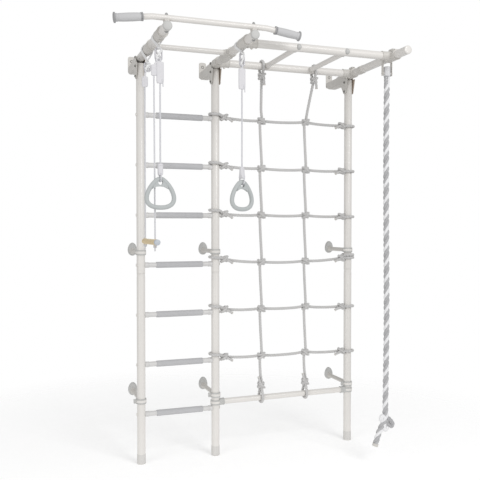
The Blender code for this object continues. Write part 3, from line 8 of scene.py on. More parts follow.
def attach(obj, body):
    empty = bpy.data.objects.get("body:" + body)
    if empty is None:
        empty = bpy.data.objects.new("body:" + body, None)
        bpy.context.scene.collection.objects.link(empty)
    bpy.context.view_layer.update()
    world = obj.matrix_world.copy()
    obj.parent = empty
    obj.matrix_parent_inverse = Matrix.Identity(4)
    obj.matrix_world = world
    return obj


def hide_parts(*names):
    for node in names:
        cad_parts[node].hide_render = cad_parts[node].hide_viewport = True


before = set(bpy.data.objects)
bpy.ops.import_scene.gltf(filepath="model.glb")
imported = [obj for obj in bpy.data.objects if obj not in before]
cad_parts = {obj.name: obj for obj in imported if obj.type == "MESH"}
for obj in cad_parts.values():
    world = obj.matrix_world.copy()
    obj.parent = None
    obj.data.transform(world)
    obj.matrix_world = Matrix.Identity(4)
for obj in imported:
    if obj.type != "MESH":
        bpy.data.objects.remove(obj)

bl_info = {
    "name": "Wall bars",
    "version": (1, 0, 0),
    "blender": (4, 5, 0),
    "location": "3D View > Sidebar > Wall bars",
    "description": "Builds the detailed pieces of a set of wall bars on its CAD frame, and a white stage",
    "category": "Object",
}

# Sizes in millimetres: x to the right, forward from the wall to the room, z up
MM = 0.001
# Least radius of a turned form, and the softening of a cast bead's edges
LEAST_RADIUS = 0.02
SOFT = 0.8
# Offset and radius of a strand, as shares of its rope's radius
STRAND_OFFSET = 0.43
STRAND_RADIUS = 0.57
# Steps along wide and tight curves, and the angle in degrees from which a rope's faces meet in an edge
LONG_STEP = 4.0
SHORT_STEP = 3.0
ROPE_SHARP = 60.0
# Posts, ladder rungs and what holds the posts to the wall
POST_X = {"left": -390.0, "middle": 0.0, "right": 771.6}
POST_RADIUS = 21.0
POST_TOP = 2001.0
POST_SEAM = 957.0
FOOT_HEIGHT = 50.0
RUNG_COUNT = 7
FIRST_RUNG = 248.6
RUNG_PITCH = 250.0
RUNG_RADIUS = 12.5
GRIP_RADIUS = 15.5
GRIP_SHARES = (0.163, 0.861)
FLUTE_DEPTH = 0.55
STANDOFF_HEIGHT = {"upper": 1062.0, "lower": 317.0}
WALL_FORWARD = -235.0
BRACKET_BACK = -231.0
CHEEK_INSIDE = 21.3
# The far cheek's inner plate, from its inside to this x, carries painted shade
CHEEK_SHADE_PLATE = 22.3
CHEEK_OUTSIDE = 24.3
FLANGE_WIDTH = 27.0
FLANGE_HEIGHT = 34.5
FLANGE_RISE = 9.5
LUG_REACH = 31.0
LUG_RISE = 10.5
CLAMP_BORE = 21.2
# Arms, rails, cross tube and pull-up bar
ARM_RADIUS = 20.0
ARM_Z = 2027.6
ARM_REAR = -24.0
ARM_FRONT = 589.0
RAIL_RADIUS = 19.0
RAIL_FORWARD = {"front_rail": 446.0, "rear_rail": 43.0}
RAIL_SLEEVE = {"front_rail": (418.0, 495.0), "rear_rail": (14.0, 76.0)}
EAR_BOLTS = {"front_rail": (-9.0, 9.0), "rear_rail": (0.0,)}
SLEEVE_RADIUS = 24.0
LEFT_SLEEVE_RADIUS = 25.0
RIGHT_COLLAR = (131.0, 165.0)
BRANCH_RADIUS = 22.0
BRANCH_REACH = 60.0
OVERHEAD_X = {"left": 264.0, "right": 516.0}
CROSS_FORWARD = 245.0
CROSS_RADIUS = 12.5
SPLICE_SPAN = (145.0, 272.0)
SPLICE_RADIUS = 23.5
SPLICE_NUT_FORWARD = 257.0
PULL_FORWARD = 564.0
PULL_Z = 2065.4
PULL_RADIUS = 12.5
PULL_STRAIGHT = 60.0
PULL_BEND = math.radians(7.5)
HANDLE_SPAN = (100.0, 222.0)
# Net, its bar and the posts' ring clamps
NET_BAR_Z = {"middle": 278.0, "right": 284.0}
NET_BAR_RADIUS = 15.0
NET_RADIUS = 8.0
LOOP_GAP = 0.4
CLAMP_BAND = [(-6.0, 24.0), (-6.0, 25.8), (-5.2, 26.5), (5.2, 26.5), (6.0, 25.8), (6.0, 24.0)]
NET_LEFT_KNOT = 46.0
NET_RIGHT_KNOT = 730.0
NET_COLUMN_X = (254.0, 511.0)
NET_TOP_X = (239.7, 540.3)
NET_TOP_KNOT = 1975.0
NET_BOTTOM_KNOT = 347.0
# Heights of each cross rope: left post, left knot, first and second column, right knot, right post
NET_ROWS = (
    (1767.0, 1758.0, 1750.0, 1756.0, 1749.0, 1746.0),
    (1517.0, 1507.0, 1499.0, 1499.0, 1499.0, 1497.0),
    (1272.0, 1257.0, 1253.0, 1252.0, 1248.5, 1246.0),
    (1029.0, 1022.0, 1003.0, 1004.0, 1017.0, 1020.0),
    (776.0, 760.0, 755.0, 756.0, 748.5, 750.0),
    (526.0, 511.0, 504.0, 507.0, 501.0, 501.0),
)
# The cross rope with two loops round the right post, counted from 0
NET_DOUBLE_ROW = 3
# Slings and their links
WIRE_RADIUS = 3.5
LASHING_RADIUS = 4.6
STRAP_WIDTH = 25.0
STRAP_DEPTH = 3.6
# Post above, forward at the arm and at the link, the link's top, bottom and half width
SLINGS = {
    "left_front": ("left", 380.0, 412.0, 1981.0, 1920.0, 22.0),
    "left_rear": ("left", 168.0, 172.0, 1970.0, 1923.0, 22.0),
    "right": ("middle", 380.0, 412.0, 1990.0, 1925.0, 14.0),
}
# Cords, rings and trapeze
CORD_RADIUS = 4.0
CORD_TWIST = 16.0
RING_CORD_SHARE = 1.1
# Sling, step to the side, height of the ring's foot, and turn in degrees
RINGS = {"left": ("left_front", 7.0, 1266.0, 0.0), "right": ("right", 0.0, 1261.5, 23.0)}
RING_TUBE = 10.0
RING_HEIGHT = 146.5
RING_WIDTH = 57.5
RING_EGG = 0.38
RING_HOLE_DROP = 26.5
# Heights, widths and depths of a ring cord's adjuster
RING_ADJUSTER = (
    (1823, 26, 9), (1824, 29, 10.4), (1827, 31, 11), (1834, 33, 11), (1860, 33, 11.6), (1908, 33, 11.6),
    (1914, 32.5, 11), (1916, 31, 10), (1917, 27, 9), (1918, 12.5, 8.4), (1921, 9.5, 7.6),
)
TRAPEZE_X = -402.0
TRAPEZE_EYE_X = -399.5
TRAPEZE_Z = 1122.0
TRAPEZE_RADIUS = 13.0
TRAPEZE_SPAN = (148.0, 442.0)
# Sling, the adjuster's x, foot, top and width, and forward at the bar
TRAPEZE_CORDS = {
    "front": ("left_front", -410.5, 1855.0, 1905.0, 25.2, 388.5),
    "rear": ("left_rear", -402.0, 1852.0, 1903.0, 28.98, 172.0),
}
# Climbing rope, its knot and its hanger
ROPE_FORWARD = 400.0
ROPE_RADIUS = 14.7
ROPE_NECK = 1906.0
SHEATH_FOOT = 1941.0
ROPE_BOTTOM = 87.0
ROPE_KNOT_Z = 207.0
# Steps of the climbing rope to the side, and heights
ROPE_ROUTE = (
    (0, ROPE_NECK), (-2, 1700), (-2, 1500), (-1, 1300), (1, 1100), (3, 900), (4, 700), (2, 500), (0, 350),
    (-1, 270), (0, 240), (-6, 214), (-20, 190), (-36, 160), (-48, 128), (-59, ROPE_BOTTOM + 6),
)
# Bulge to the front and course of each turn of the rope's knot
ROPE_LOBES = (
    (6.0, ((-18, 0), (-27, 14), (-24, 29), (-12, 27), (0, 12), (12, -6))),
    (15.0, ((-12, 22), (2, 22), (16, 11), (29, -6), (30, -19), (18, -20), (5, -7), (-8, 7))),
    (9.0, ((22, -2), (10, -20), (2, -36), (-8, -38), (-13, -24), (-6, -6), (4, 8))),
)
LOBE_RADIUS = 10.8
PIN_Z = 1955.0
YOKE_HALF = 25.0

# Camera in metres and degrees
CAMERA_PLACE = (-1.0506, -3.3580, 1.1931)
CAMERA_YAW = 19.46
CAMERA_PITCH = -1.16
CAMERA_LENS = 50.83
# Places and sizes of the two lamps, in metres
LAMPS = {"key": ((1.4, -4.2, 3.4), 2.2), "fill": ((-3.6, -2.6, 1.8), 2.4)}
LAMP_AIM = (0.15, -0.1, 1.05)
FLOOR_REACH = 9.0


def chosen():
    """Values set in the panel."""
    return bpy.context.scene.wall_bars


def place(x, forward, z):
    """Point in metres from a place in millimetres."""
    return Vector((x, -forward, z)) * MM


def heading(x, forward, z):
    """Direction of length one."""
    return Vector((x, -forward, z)).normalized()


RIGHT = heading(1, 0, 0)
LEFT = heading(-1, 0, 0)
FORWARD = heading(0, 1, 0)
UP = heading(0, 0, 1)
DOWN = heading(0, 0, -1)
SIDES = ((-1, LEFT), (1, RIGHT))


class Form:
    """Surfaces of one piece, gathered ring by ring in metres."""

    def __init__(self):
        self.points = []
        self.faces = []
        self.looks = []
        self.maps = []

    def loft(self, rings, look=0, closed=False):
        """Skin between rings of equal count. The map runs along in metres and round by share."""
        count = len(rings[0])
        start = len(self.points)
        travelled = [0.0]
        for ring, following in zip(rings, rings[1:] + rings[:1]):
            middle = (ring[0] + ring[count // 2]) / 2
            travelled.append(travelled[-1] + ((following[0] + following[count // 2]) / 2 - middle).length)
        for ring in rings:
            self.points += ring
        for step in range(len(rings) if closed else len(rings) - 1):
            low = start + step * count
            high = start + (step + 1) % len(rings) * count
            for side in range(count):
                after = (side + 1) % count
                self.faces.append((low + side, low + after, high + after, high + side))
                self.looks.append(look)
                for along, share in ((0, side), (0, side + 1), (1, side + 1), (1, side)):
                    self.maps.append((travelled[step + along], share / count))
        if not closed:
            last = start + (len(rings) - 1) * count
            for order in (range(start + count - 1, start - 1, -1), range(last, last + count)):
                self.faces.append(tuple(order))
                self.looks.append(look)
                self.maps += [(0.0, 0.0)] * count

    def build(self, name, look_names, nodes=(), body="root", sharp=40.0):
        """Make the piece, let it ride on its body and put it in place of its CAD nodes."""
        mesh = bpy.data.meshes.new(name)
        mesh.from_pydata([tuple(point) for point in self.points], [], self.faces)
        for look_name in look_names.split():
            mesh.materials.append(material(look_name))
        mesh.polygons.foreach_set("material_index", self.looks)
        layer = mesh.uv_layers.new(name="Along")
        layer.data.foreach_set("uv", [value for pair in self.maps for value in pair])
        bm = bmesh.new()
        bm.from_mesh(mesh)
        bmesh.ops.recalc_face_normals(bm, faces=bm.faces)
        bm.to_mesh(mesh)
        bm.free()
        mesh.polygons.foreach_set("use_smooth", [True] * len(mesh.polygons))
        mesh.set_sharp_from_angle(angle=math.radians(sharp))
        obj = bpy.data.objects.new(name, mesh)
        bpy.context.scene.collection.objects.link(obj)
        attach(obj, body)
        if nodes:
            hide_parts(*nodes)
        return obj

    def stand_in(self, node, look_names, body="root", sharp=40.0):
        """Build the piece that takes the place of one CAD node and has its name, with _form."""
        return self.build(node + "_form", look_names, [node], body, sharp)


def around(count):
    """Angles of one full turn in equal steps."""
    return [2 * math.pi * step / count for step in range(count)]


def circle(centre, across, upward, radius, sides):
    """Ring of points about a centre, in the plane of two directions."""
    ring = []
    for angle in around(sides):
        ring.append(centre + (across * math.cos(angle) + upward * math.sin(angle)) * radius)
    return ring


def turned(form, profile, start, direction, look=0, sides=0, closed=False):
    """Round form from (along, radius) pairs in millimetres."""
    across = direction.orthogonal().normalized()
    upward = direction.cross(across)
    sides = sides or chosen().tube_sides
    rings = []
    for along, radius in profile:
        centre = start + direction * along * MM
        rings.append(circle(centre, across, upward, max(radius, LEAST_RADIUS) * MM, sides))
    form.loft(rings, look, closed)


def from_base(level, radius, steps):
    """Profile from steps given against a level and a radius."""
    return [(level + along, radius + rise) for along, rise in steps]


def mirrored(half):
    """Profile about its middle, from the half that lies ahead."""
    return [(-along, radius) for along, radius in half] + list(reversed(half))


def beaded(low, high, radius, bead=1.0, width=4.0):
    """Profile of a cast sleeve with a raised bead at both ends."""
    half = ((0, -3), (0, bead - SOFT), (SOFT, bead))
    half += ((width - SOFT, bead), (width, bead - SOFT), (width + SOFT, 0))
    far = [(high - inward, radius + rise) for inward, rise in reversed(half)]
    return from_base(low, radius, half) + far


def dome_bolt(form, start, direction, radius, height, look=0):
    """Domed head on a thin washer."""
    washer = 1.6
    profile = [(-0.5, radius + washer), (0.6, radius + washer), (1.0, radius + 1.2)]
    profile += [(1.0, radius), (washer, radius)]
    for step in range(1, 7):
        angle = math.pi / 2 * step / 6
        profile.append((washer + (height - washer) * math.sin(angle), radius * math.cos(angle)))
    turned(form, profile, start, direction, look, 24)


def bolt_pair(form, x, forward, z, reach, radius, height, look=0):
    """Two domed heads, one on each side of a place."""
    for way, direction in SIDES:
        dome_bolt(form, place(x + way * reach, forward, z), direction, radius, height, look)


def hex_nut(form, start, radius, look):
    """Nut that points down, with the end of its bolt."""
    height = 5.0
    nut = [(-0.5, radius - 0.6), (0.0, radius), (height - 0.8, radius), (height, radius - 1.0)]
    bolt = [(height - 0.5, radius * 0.5), (height + 2.0, radius * 0.5), (height + 2.6, radius * 0.4)]
    turned(form, nut, start, DOWN, look, 6)
    turned(form, bolt, start, DOWN, look, 20)


def slab(form, outline, low, high, axis, look=0, edge=0.8):
    """Plate from an outline between two levels along an axis, with softened rims."""
    mid_a = sum(a for a, b in outline) / len(outline)
    mid_b = sum(b for a, b in outline) / len(outline)
    rings = []
    for level, inset in ((low, edge), (low + edge, 0.0), (high - edge, 0.0), (high, edge)):
        ring = []
        for a, b in outline:
            reach = math.hypot(a - mid_a, b - mid_b)
            share = 1 - inset / max(reach, inset * 2, 0.001)
            a_in = mid_a + (a - mid_a) * share
            b_in = mid_b + (b - mid_b) * share
            if axis == "x":
                ring.append(place(level, a_in, b_in))
            elif axis == "forward":
                ring.append(place(a_in, level, b_in))
            else:
                ring.append(place(a_in, b_in, level))
        rings.append(ring)
    form.loft(rings, look)


def rounded_corners(corners, radius, steps=4):
    """Outline whose corners are replaced by short curves."""
    outline = []
    for index, corner in enumerate(corners):
        here = Vector(corner)
        before = Vector(corners[index - 1]) - here
        after = Vector(corners[(index + 1) % len(corners)]) - here
        cut_back = min(radius, before.length * 0.45, after.length * 0.45)
        first = here + before.normalized() * cut_back
        last = here + after.normalized() * cut_back
        for step in range(steps + 1):
            share = step / steps
            point = first * (1 - share) ** 2 + here * 2 * share * (1 - share) + last * share ** 2
            outline.append((point.x, point.y))
    return outline


def box_outline(low_a, low_b, high_a, high_b, radius, steps=4):
    """Rectangle with rounded corners."""
    corners = [(low_a, low_b), (high_a, low_b), (high_a, high_b), (low_a, high_b)]
    return rounded_corners(corners, radius, steps)


def smooth_line(points, step, closed=False):
    """Points a small step apart, in millimetres, on a smooth line through the given points."""
    count = len(points)
    line = []
    for index in range(count if closed else count - 1):
        near = points[index]
        far = points[(index + 1) % count]
        before = points[index - 1] if closed or index else near - (far - near)
        beyond = points[(index + 2) % count] if closed or index + 2 < count else far + (far - near)
        parts = max(1, round((far - near).length / (step * MM)))
        for part in range(parts):
            share = part / parts
            square = (2 * before - 5 * near + 4 * far - beyond) * share ** 2
            cube = (3 * near - before - 3 * far + beyond) * share ** 3
            line.append((2 * near + (far - before) * share + square + cube) * 0.5)
    if not closed:
        line.append(points[-1].copy())
    return line


def frames_along(line, closed=False):
    """Tangent and two side directions at each point, turning as little as possible."""
    count = len(line)
    frames = []
    side = None
    for index in range(count):
        before = line[index - 1] if closed or index else line[0]
        after = line[(index + 1) % count] if closed or index + 1 < count else line[-1]
        tangent = (after - before).normalized()
        side = tangent.orthogonal() if side is None else side
        side = (side - tangent * side.dot(tangent)).normalized()
        frames.append((tangent, side, tangent.cross(side)))
    return frames


def curve(step, *spots):
    """Smooth line through spots of (x, forward, z)."""
    return smooth_line([place(*spot) for spot in spots], step)


def tube(form, line, radius, look=0, sides=20, closed=False, rounded=False):
    """Round tube along a line of points, its ends rounded where asked."""
    frames = frames_along(line, closed)
    rings = []
    for point, (tangent, side, cross) in zip(line, frames):
        rings.append(circle(point, side, cross, radius * MM, sides))
    for share in (0.35, 0.7, 0.95) if rounded else ():
        small = radius * MM * math.sqrt(1 - share ** 2)
        tangent, side, cross = frames[0]
        rings.insert(0, circle(line[0] - tangent * radius * MM * share, side, cross, small, sides))
        tangent, side, cross = frames[-1]
        rings.append(circle(line[-1] + tangent * radius * MM * share, side, cross, small, sides))
    form.loft(rings, look, closed)


def laid_rope(form, line, radius, twist, looks=(0, 0, 0), sides=8, start=0.0, closed=False):
    """Three strands laid round each other along a line of points."""
    frames = frames_along(line, closed)
    distance = 0.0
    turns = []
    for index, point in enumerate(line):
        if index:
            distance += (point - line[index - 1]).length
        turns.append(distance / (twist * MM))
    for number in range(3):
        rings = []
        for point, (tangent, side, cross), turn in zip(line, frames, turns):
            angle = start + 2 * math.pi * (number / 3 + turn)
            centre = point + (side * math.cos(angle) + cross * math.sin(angle)) * radius * STRAND_OFFSET * MM
            rings.append(circle(centre, side, cross, radius * STRAND_RADIUS * MM, sides))
        form.loft(rings, looks[number], closed)


def ribbon(form, line, width, thickness, across, look=0, closed=False):
    """Flat band along a line, its width along one direction, its edges rounded."""
    frames = frames_along(line, closed)
    half_width = width / 2 * MM
    half_thick = thickness / 2 * MM
    half = [(-1, -0.4), (-0.94, -1), (-0.5, -1), (0, -1), (0.5, -1), (0.94, -1), (1, -0.4)]
    corners = half + [(-a, -b) for a, b in half]
    rings = []
    for point, (tangent, side, cross) in zip(line, frames):
        normal = tangent.cross(across).normalized()
        rings.append([point + across * half_width * a + normal * half_thick * b for a, b in corners])
    form.loft(rings, look, closed)


def flat_ring(x, forward, z, width, depth):
    """Rounded flat section of a sewn sleeve."""
    ring = []
    for angle in around(28):
        dx = math.copysign(abs(math.cos(angle)) ** 0.55, math.cos(angle)) * width / 2
        df = math.copysign(abs(math.sin(angle)) ** 0.7, math.sin(angle)) * depth / 2
        ring.append(place(x + dx, forward + df, z))
    return ring


# Materials

def srgb(red, green, blue):
    """Linear colour from the 0 to 255 values that a picture holds."""
    linear = []
    for value in (red, green, blue):
        share = value / 255
        linear.append(share / 12.92 if share <= 0.04045 else ((share + 0.055) / 1.055) ** 2.4)
    return (*linear, 1.0)


class Nodes:
    """Short ways to add and join nodes in one tree."""

    def __init__(self, tree):
        self.tree = tree

    def add(self, kind, values=None, **settings):
        """New node with its settings, and its inputs set or linked."""
        node = self.tree.nodes.new(kind)
        for key, value in settings.items():
            setattr(node, key, value)
        for key, value in (values or {}).items():
            if isinstance(value, bpy.types.NodeSocket):
                self.tree.links.new(value, node.inputs[key])
            else:
                node.inputs[key].default_value = value
        return node

    def maths(self, operation, first, second=0.0):
        """Result of one operation on two values."""
        return self.add("ShaderNodeMath", {0: first, 1: second}, operation=operation).outputs[0]

    def plus(self, first, second):
        return self.maths("ADD", first, second)

    def times(self, first, second):
        return self.maths("MULTIPLY", first, second)

    def mix(self, share, first, second):
        """Colour between two, by share."""
        return self.add("ShaderNodeMix", {0: share, 6: first, 7: second}, data_type="RGBA").outputs[2]

    def noise(self, vector, scale, detail=3.0):
        """Level of a noise texture."""
        return self.add("ShaderNodeTexNoise", {"Vector": vector, "Scale": scale, "Detail": detail}).outputs[0]

    def spot(self):
        """Place on the object."""
        return self.add("ShaderNodeTexCoord").outputs["Object"]

    def along_and_round(self):
        """The two values of the map that follows a form."""
        layer = self.add("ShaderNodeUVMap", uv_map="Along").outputs[0]
        return self.add("ShaderNodeSeparateXYZ", {0: layer}).outputs[:2]


def effect_group(name, levels):
    """Empty effect group: two colours and named levels in, colour, roughness and height out."""
    tree = bpy.data.node_groups.new(name, "ShaderNodeTree")
    grey = (0.7, 0.7, 0.7, 1.0)
    for label, value in {"Colour": grey, "Shade": grey, **levels}.items():
        kind = "NodeSocketColor" if isinstance(value, tuple) else "NodeSocketFloat"
        socket = tree.interface.new_socket(label, in_out="INPUT", socket_type=kind)
        socket.default_value = value
    tree.interface.new_socket("Colour", in_out="OUTPUT", socket_type="NodeSocketColor")
    tree.interface.new_socket("Roughness", in_out="OUTPUT", socket_type="NodeSocketFloat")
    tree.interface.new_socket("Height", in_out="OUTPUT", socket_type="NodeSocketFloat")
    nodes = Nodes(tree)
    return nodes, nodes.add("NodeGroupInput").outputs


def end_group(nodes, colour, roughness, height):
    """Join an effect group's results to its outputs."""
    nodes.add("NodeGroupOutput", {"Colour": colour, "Roughness": roughness, "Height": height})
    return nodes.tree


def coating_group():
    """Sprayed or moulded surface: faint patches, fine grain and uneven gloss."""
    nodes, given = effect_group("Coated surface", {
        "Patch scale": 9.0, "Grain scale": 700.0, "Roughness": 0.4, "Gloss change": 0.12})
    spot = nodes.spot()
    patches = nodes.noise(spot, given["Patch scale"], 5.0)
    grain = nodes.noise(spot, given["Grain scale"], 2.0)
    colour = nodes.mix(patches, given["Colour"], given["Shade"])
    change = nodes.times(nodes.maths("SUBTRACT", patches, 0.5), given["Gloss change"])
    return end_group(nodes, colour, nodes.plus(given["Roughness"], change), grain)


def yarn_group():
    """Twisted yarns that run along a cord, with fuzz between them."""
    nodes, given = effect_group("Twisted yarns", {
        "Yarns": 5.0, "Turns": 30.0, "Roughness": 0.85, "Fuzz": 0.35})
    along, share = nodes.along_and_round()
    spot = nodes.spot()
    fuzz = nodes.noise(spot, 420.0, 4.0)
    turn = nodes.plus(nodes.times(along, given["Turns"]), nodes.times(share, given["Yarns"]))
    wave = nodes.maths("SINE", nodes.times(turn, 2 * math.pi))
    ridge = nodes.plus(nodes.times(wave, 0.5), 0.5)
    height = nodes.plus(ridge, nodes.times(fuzz, given["Fuzz"]))
    # Painted shade: the colour goes towards the Shade colour in the grooves between the yarns, scaled by the
    # fuzz noise
    groove_shade = nodes.times(nodes.maths("SUBTRACT", 1.0, ridge), nodes.plus(fuzz, 0.2))
    colour = nodes.mix(groove_shade, given["Colour"], given["Shade"])
    return end_group(nodes, colour, given["Roughness"], height)


def weave_group():
    """Woven strap: two crossing sets of yarns, darker and worn between them."""
    nodes, given = effect_group("Woven strap", {"Along scale": 900.0, "Across scale": 40.0, "Roughness": 0.8})
    along, share = nodes.along_and_round()
    warp = nodes.maths("SINE", nodes.times(along, given["Along scale"]))
    weft = nodes.maths("SINE", nodes.times(share, given["Across scale"]))
    weave = nodes.plus(nodes.times(nodes.times(warp, weft), 0.5), 0.5)
    spot = nodes.spot()
    shade_variation = nodes.noise(spot, 60.0, 4.0)
    # Painted shade: the colour goes towards the Shade colour between the yarns, its strength varied by a
    # noise
    groove_shade = nodes.times(nodes.maths("SUBTRACT", 1.0, weave), shade_variation)
    colour = nodes.mix(groove_shade, given["Colour"], given["Shade"])
    return end_group(nodes, colour, given["Roughness"], weave)


def grain_group():
    """Turned wood: long grain lines along the bar under a clear finish."""
    nodes, given = effect_group("Wood grain", {"Line scale": 260.0, "Roughness": 0.45})
    spot = nodes.spot()
    stretched = nodes.add("ShaderNodeMapping", {"Vector": spot, "Scale": (1.0, 0.06, 1.0)}).outputs[0]
    lines = nodes.noise(stretched, given["Line scale"], 6.0)
    broad = nodes.noise(stretched, 60.0, 2.0)
    share = nodes.times(nodes.plus(lines, broad), 0.5)
    sharper = nodes.add("ShaderNodeMapRange", {0: share, 1: 0.38, 2: 0.66}).outputs[0]
    colour = nodes.mix(sharper, given["Colour"], given["Shade"])
    gloss = nodes.times(lines, 0.1)
    return end_group(nodes, colour, nodes.plus(given["Roughness"], gloss), lines)


GROUP_MAKERS = {
    "coating": ("Coated surface", coating_group),
    "yarn": ("Twisted yarns", yarn_group),
    "weave": ("Woven strap", weave_group),
    "grain": ("Wood grain", grain_group),
}

# Name: effect, colour, shade, other inputs, bump strength, metallic and coat; the shade is a second patch
# tone for coatings, the dark of the grain for wood, and painted shade in the grooves for yarns and weaves
LOOKS = {
    "white_paint": ("coating", (226, 223, 219), (219, 216, 212), {"Roughness": 0.36}, 0.05, 0.0, 0.15),
    "rung_paint": ("coating", (214, 213, 212), (204, 203, 202), {"Roughness": 0.42}, 0.08, 0.0, 0.0),
    "grey_paint": ("coating", (208, 205, 200), (197, 194, 189), {"Roughness": 0.45}, 0.08, 0.0, 0.0),
    "mount_grey": ("coating", (197, 197, 195), (182, 182, 180), {"Roughness": 0.5}, 0.1, 0.0, 0.0),
    "bolt_grey": ("coating", (168, 168, 167), (150, 150, 149), {"Roughness": 0.45}, 0.06, 0.0, 0.0),
    # Dark grey steel of the wall screw and the cheek bolt heads; the screw is this dark partly as painted
    # shade for its hole
    "screw_grey": ("coating", (132, 130, 126), (112, 110, 107), {"Roughness": 0.4}, 0.06, 0.3, 0.0),
    # Brownish dark grey for the far cheek's inner face and the cross bolts' shafts: painted shade under the
    # arm
    "shaded_steel": ("coating", (196, 182, 168), (176, 162, 148), {"Roughness": 0.55}, 0.1, 0.0, 0.0),
    "rung_sleeve": ("coating", (190, 190, 192), (178, 178, 180), {"Roughness": 0.6, "Grain scale": 1400.0},
                    0.12, 0.0, 0.0),
    "bar_rubber": ("coating", (199, 199, 200), (187, 187, 188), {"Roughness": 0.66, "Grain scale": 1800.0},
                   0.2, 0.0, 0.0),
    "dark_rubber": ("coating", (170, 170, 171), (154, 154, 155), {"Roughness": 0.7}, 0.15, 0.0, 0.0),
    "net_fibre": ("yarn", (220, 219, 218), (150, 149, 148), {"Yarns": 5.0, "Turns": 70.0}, 0.3, 0.0, 0.0),
    "grey_fibre": ("yarn", (190, 190, 191), (152, 152, 154), {"Yarns": 9.0, "Turns": 20.0}, 0.25, 0.0, 0.0),
    "white_fibre": ("yarn", (246, 246, 247), (205, 205, 207), {"Yarns": 9.0, "Turns": 20.0}, 0.25, 0.0, 0.0),
    "sheath_plastic": ("coating", (226, 226, 228), (212, 212, 214), {"Roughness": 0.4}, 0.06, 0.0, 0.1),
    "white_webbing": ("weave", (240, 240, 240), (196, 196, 198), {}, 0.35, 0.0, 0.0),
    "plated_steel": ("coating", (208, 207, 211), (186, 185, 190), {"Roughness": 0.4}, 0.05, 0.35, 0.0),
    "braided_cord": ("yarn", (228, 228, 231), (184, 184, 189), {"Yarns": 8.0, "Turns": 160.0}, 0.3, 0.0, 0.0),
    "sewn_sleeve": ("weave", (223, 222, 225), (196, 195, 199), {"Along scale": 1400.0, "Across scale": 90.0},
                    0.3, 0.0, 0.0),
    "ring_plastic": ("coating", (166, 167, 171), (148, 149, 154), {"Roughness": 0.42}, 0.08, 0.0, 0.1),
    "turned_wood": ("grain", (222, 202, 156), (204, 176, 124), {}, 0.12, 0.0, 0.25),
    "cap_plastic": ("coating", (196, 202, 209), (180, 186, 194), {"Roughness": 0.45}, 0.08, 0.0, 0.0),
    "foot_rubber": ("coating", (214, 212, 209), (204, 202, 199), {"Roughness": 0.6}, 0.1, 0.0, 0.0),
}


def material(name):
    """The named material, made on first use from its shared effect group."""
    if name in bpy.data.materials:
        return bpy.data.materials[name]
    effect, colour, shade, others, strength, metallic, coat = LOOKS[name]
    group_name, make_group = GROUP_MAKERS[effect]
    tree = bpy.data.node_groups.get(group_name) or make_group()
    made = bpy.data.materials.new(name)
    made.use_nodes = True
    shader = made.node_tree.nodes["Principled BSDF"]
    nodes = Nodes(made.node_tree)
    group = nodes.add("ShaderNodeGroup", node_tree=tree)
    for key, value in {"Colour": srgb(*colour), "Shade": srgb(*shade), **others}.items():
        group.inputs[key].default_value = value
    height = group.outputs["Height"]
    bump = nodes.add("ShaderNodeBump", {"Strength": strength, "Distance": 0.001, "Height": height})
    for output, label in ((group.outputs["Colour"], "Base Color"), (group.outputs["Roughness"], "Roughness"),
                          (bump.outputs["Normal"], "Normal")):
        made.node_tree.links.new(output, shader.inputs[label])
    shader.inputs["Metallic"].default_value = metallic
    shader.inputs["Coat Weight"].default_value = coat
    made.diffuse_color = srgb(*colour)
    return made


# Frame pieces

def rung_heights():
    """Heights of the ladder's rungs, from the lowest."""
    return [FIRST_RUNG + RUNG_PITCH * index for index in range(RUNG_COUNT)]


def make_posts():
    """Posts in two lengths, with foot caps and the heads of the rungs' bolts."""
    foot = [(0.0, 19.5), (0.8, 21.2), (3.0, 22.2)]
    foot += from_base(FOOT_HEIGHT, 0, ((-2.5, 22.0), (-0.7, 21.8), (0, 21.2), (0, 20.0)))
    low_part = [(FOOT_HEIGHT - 5, POST_RADIUS)]
    low_part += from_base(POST_SEAM, POST_RADIUS, (
        (-19, 0), (-17, -0.7), (-4, -0.7), (-2, 0), (-1, 0), (-0.3, -0.8), (-0.3, -2)))
    high_part = from_base(POST_SEAM, POST_RADIUS, ((-0.3, -2), (0.3, -0.8), (1, 0)))
    high_part += from_base(POST_TOP, POST_RADIUS, ((-0.8, 0), (0, -0.6), (0, -2), (-30, -2)))
    for side, x in POST_X.items():
        lower = Form()
        upper = Form()
        heads = Form()
        turned(lower, foot, place(x, 0, 0), UP, 1)
        turned(lower, low_part, place(x, 0, 0), UP)
        turned(upper, high_part, place(x, 0, 0), UP)
        way, outward = SIDES[0] if side == "left" else SIDES[1]
        for z in rung_heights() if side != "right" else ():
            start = place(x + way * (POST_RADIUS - 0.6), 0, z)
            dome_bolt(heads if z < POST_SEAM else upper, start, outward, 8.0, 5.0)
        lower.build("lower_post_" + side, "white_paint foot_rubber", ["post_lower_" + side])
        upper.build("upper_post_" + side, "white_paint", ["post_upper_" + side])
        if side != "right":
            heads.build("lower_bolt_heads_" + side, "white_paint")


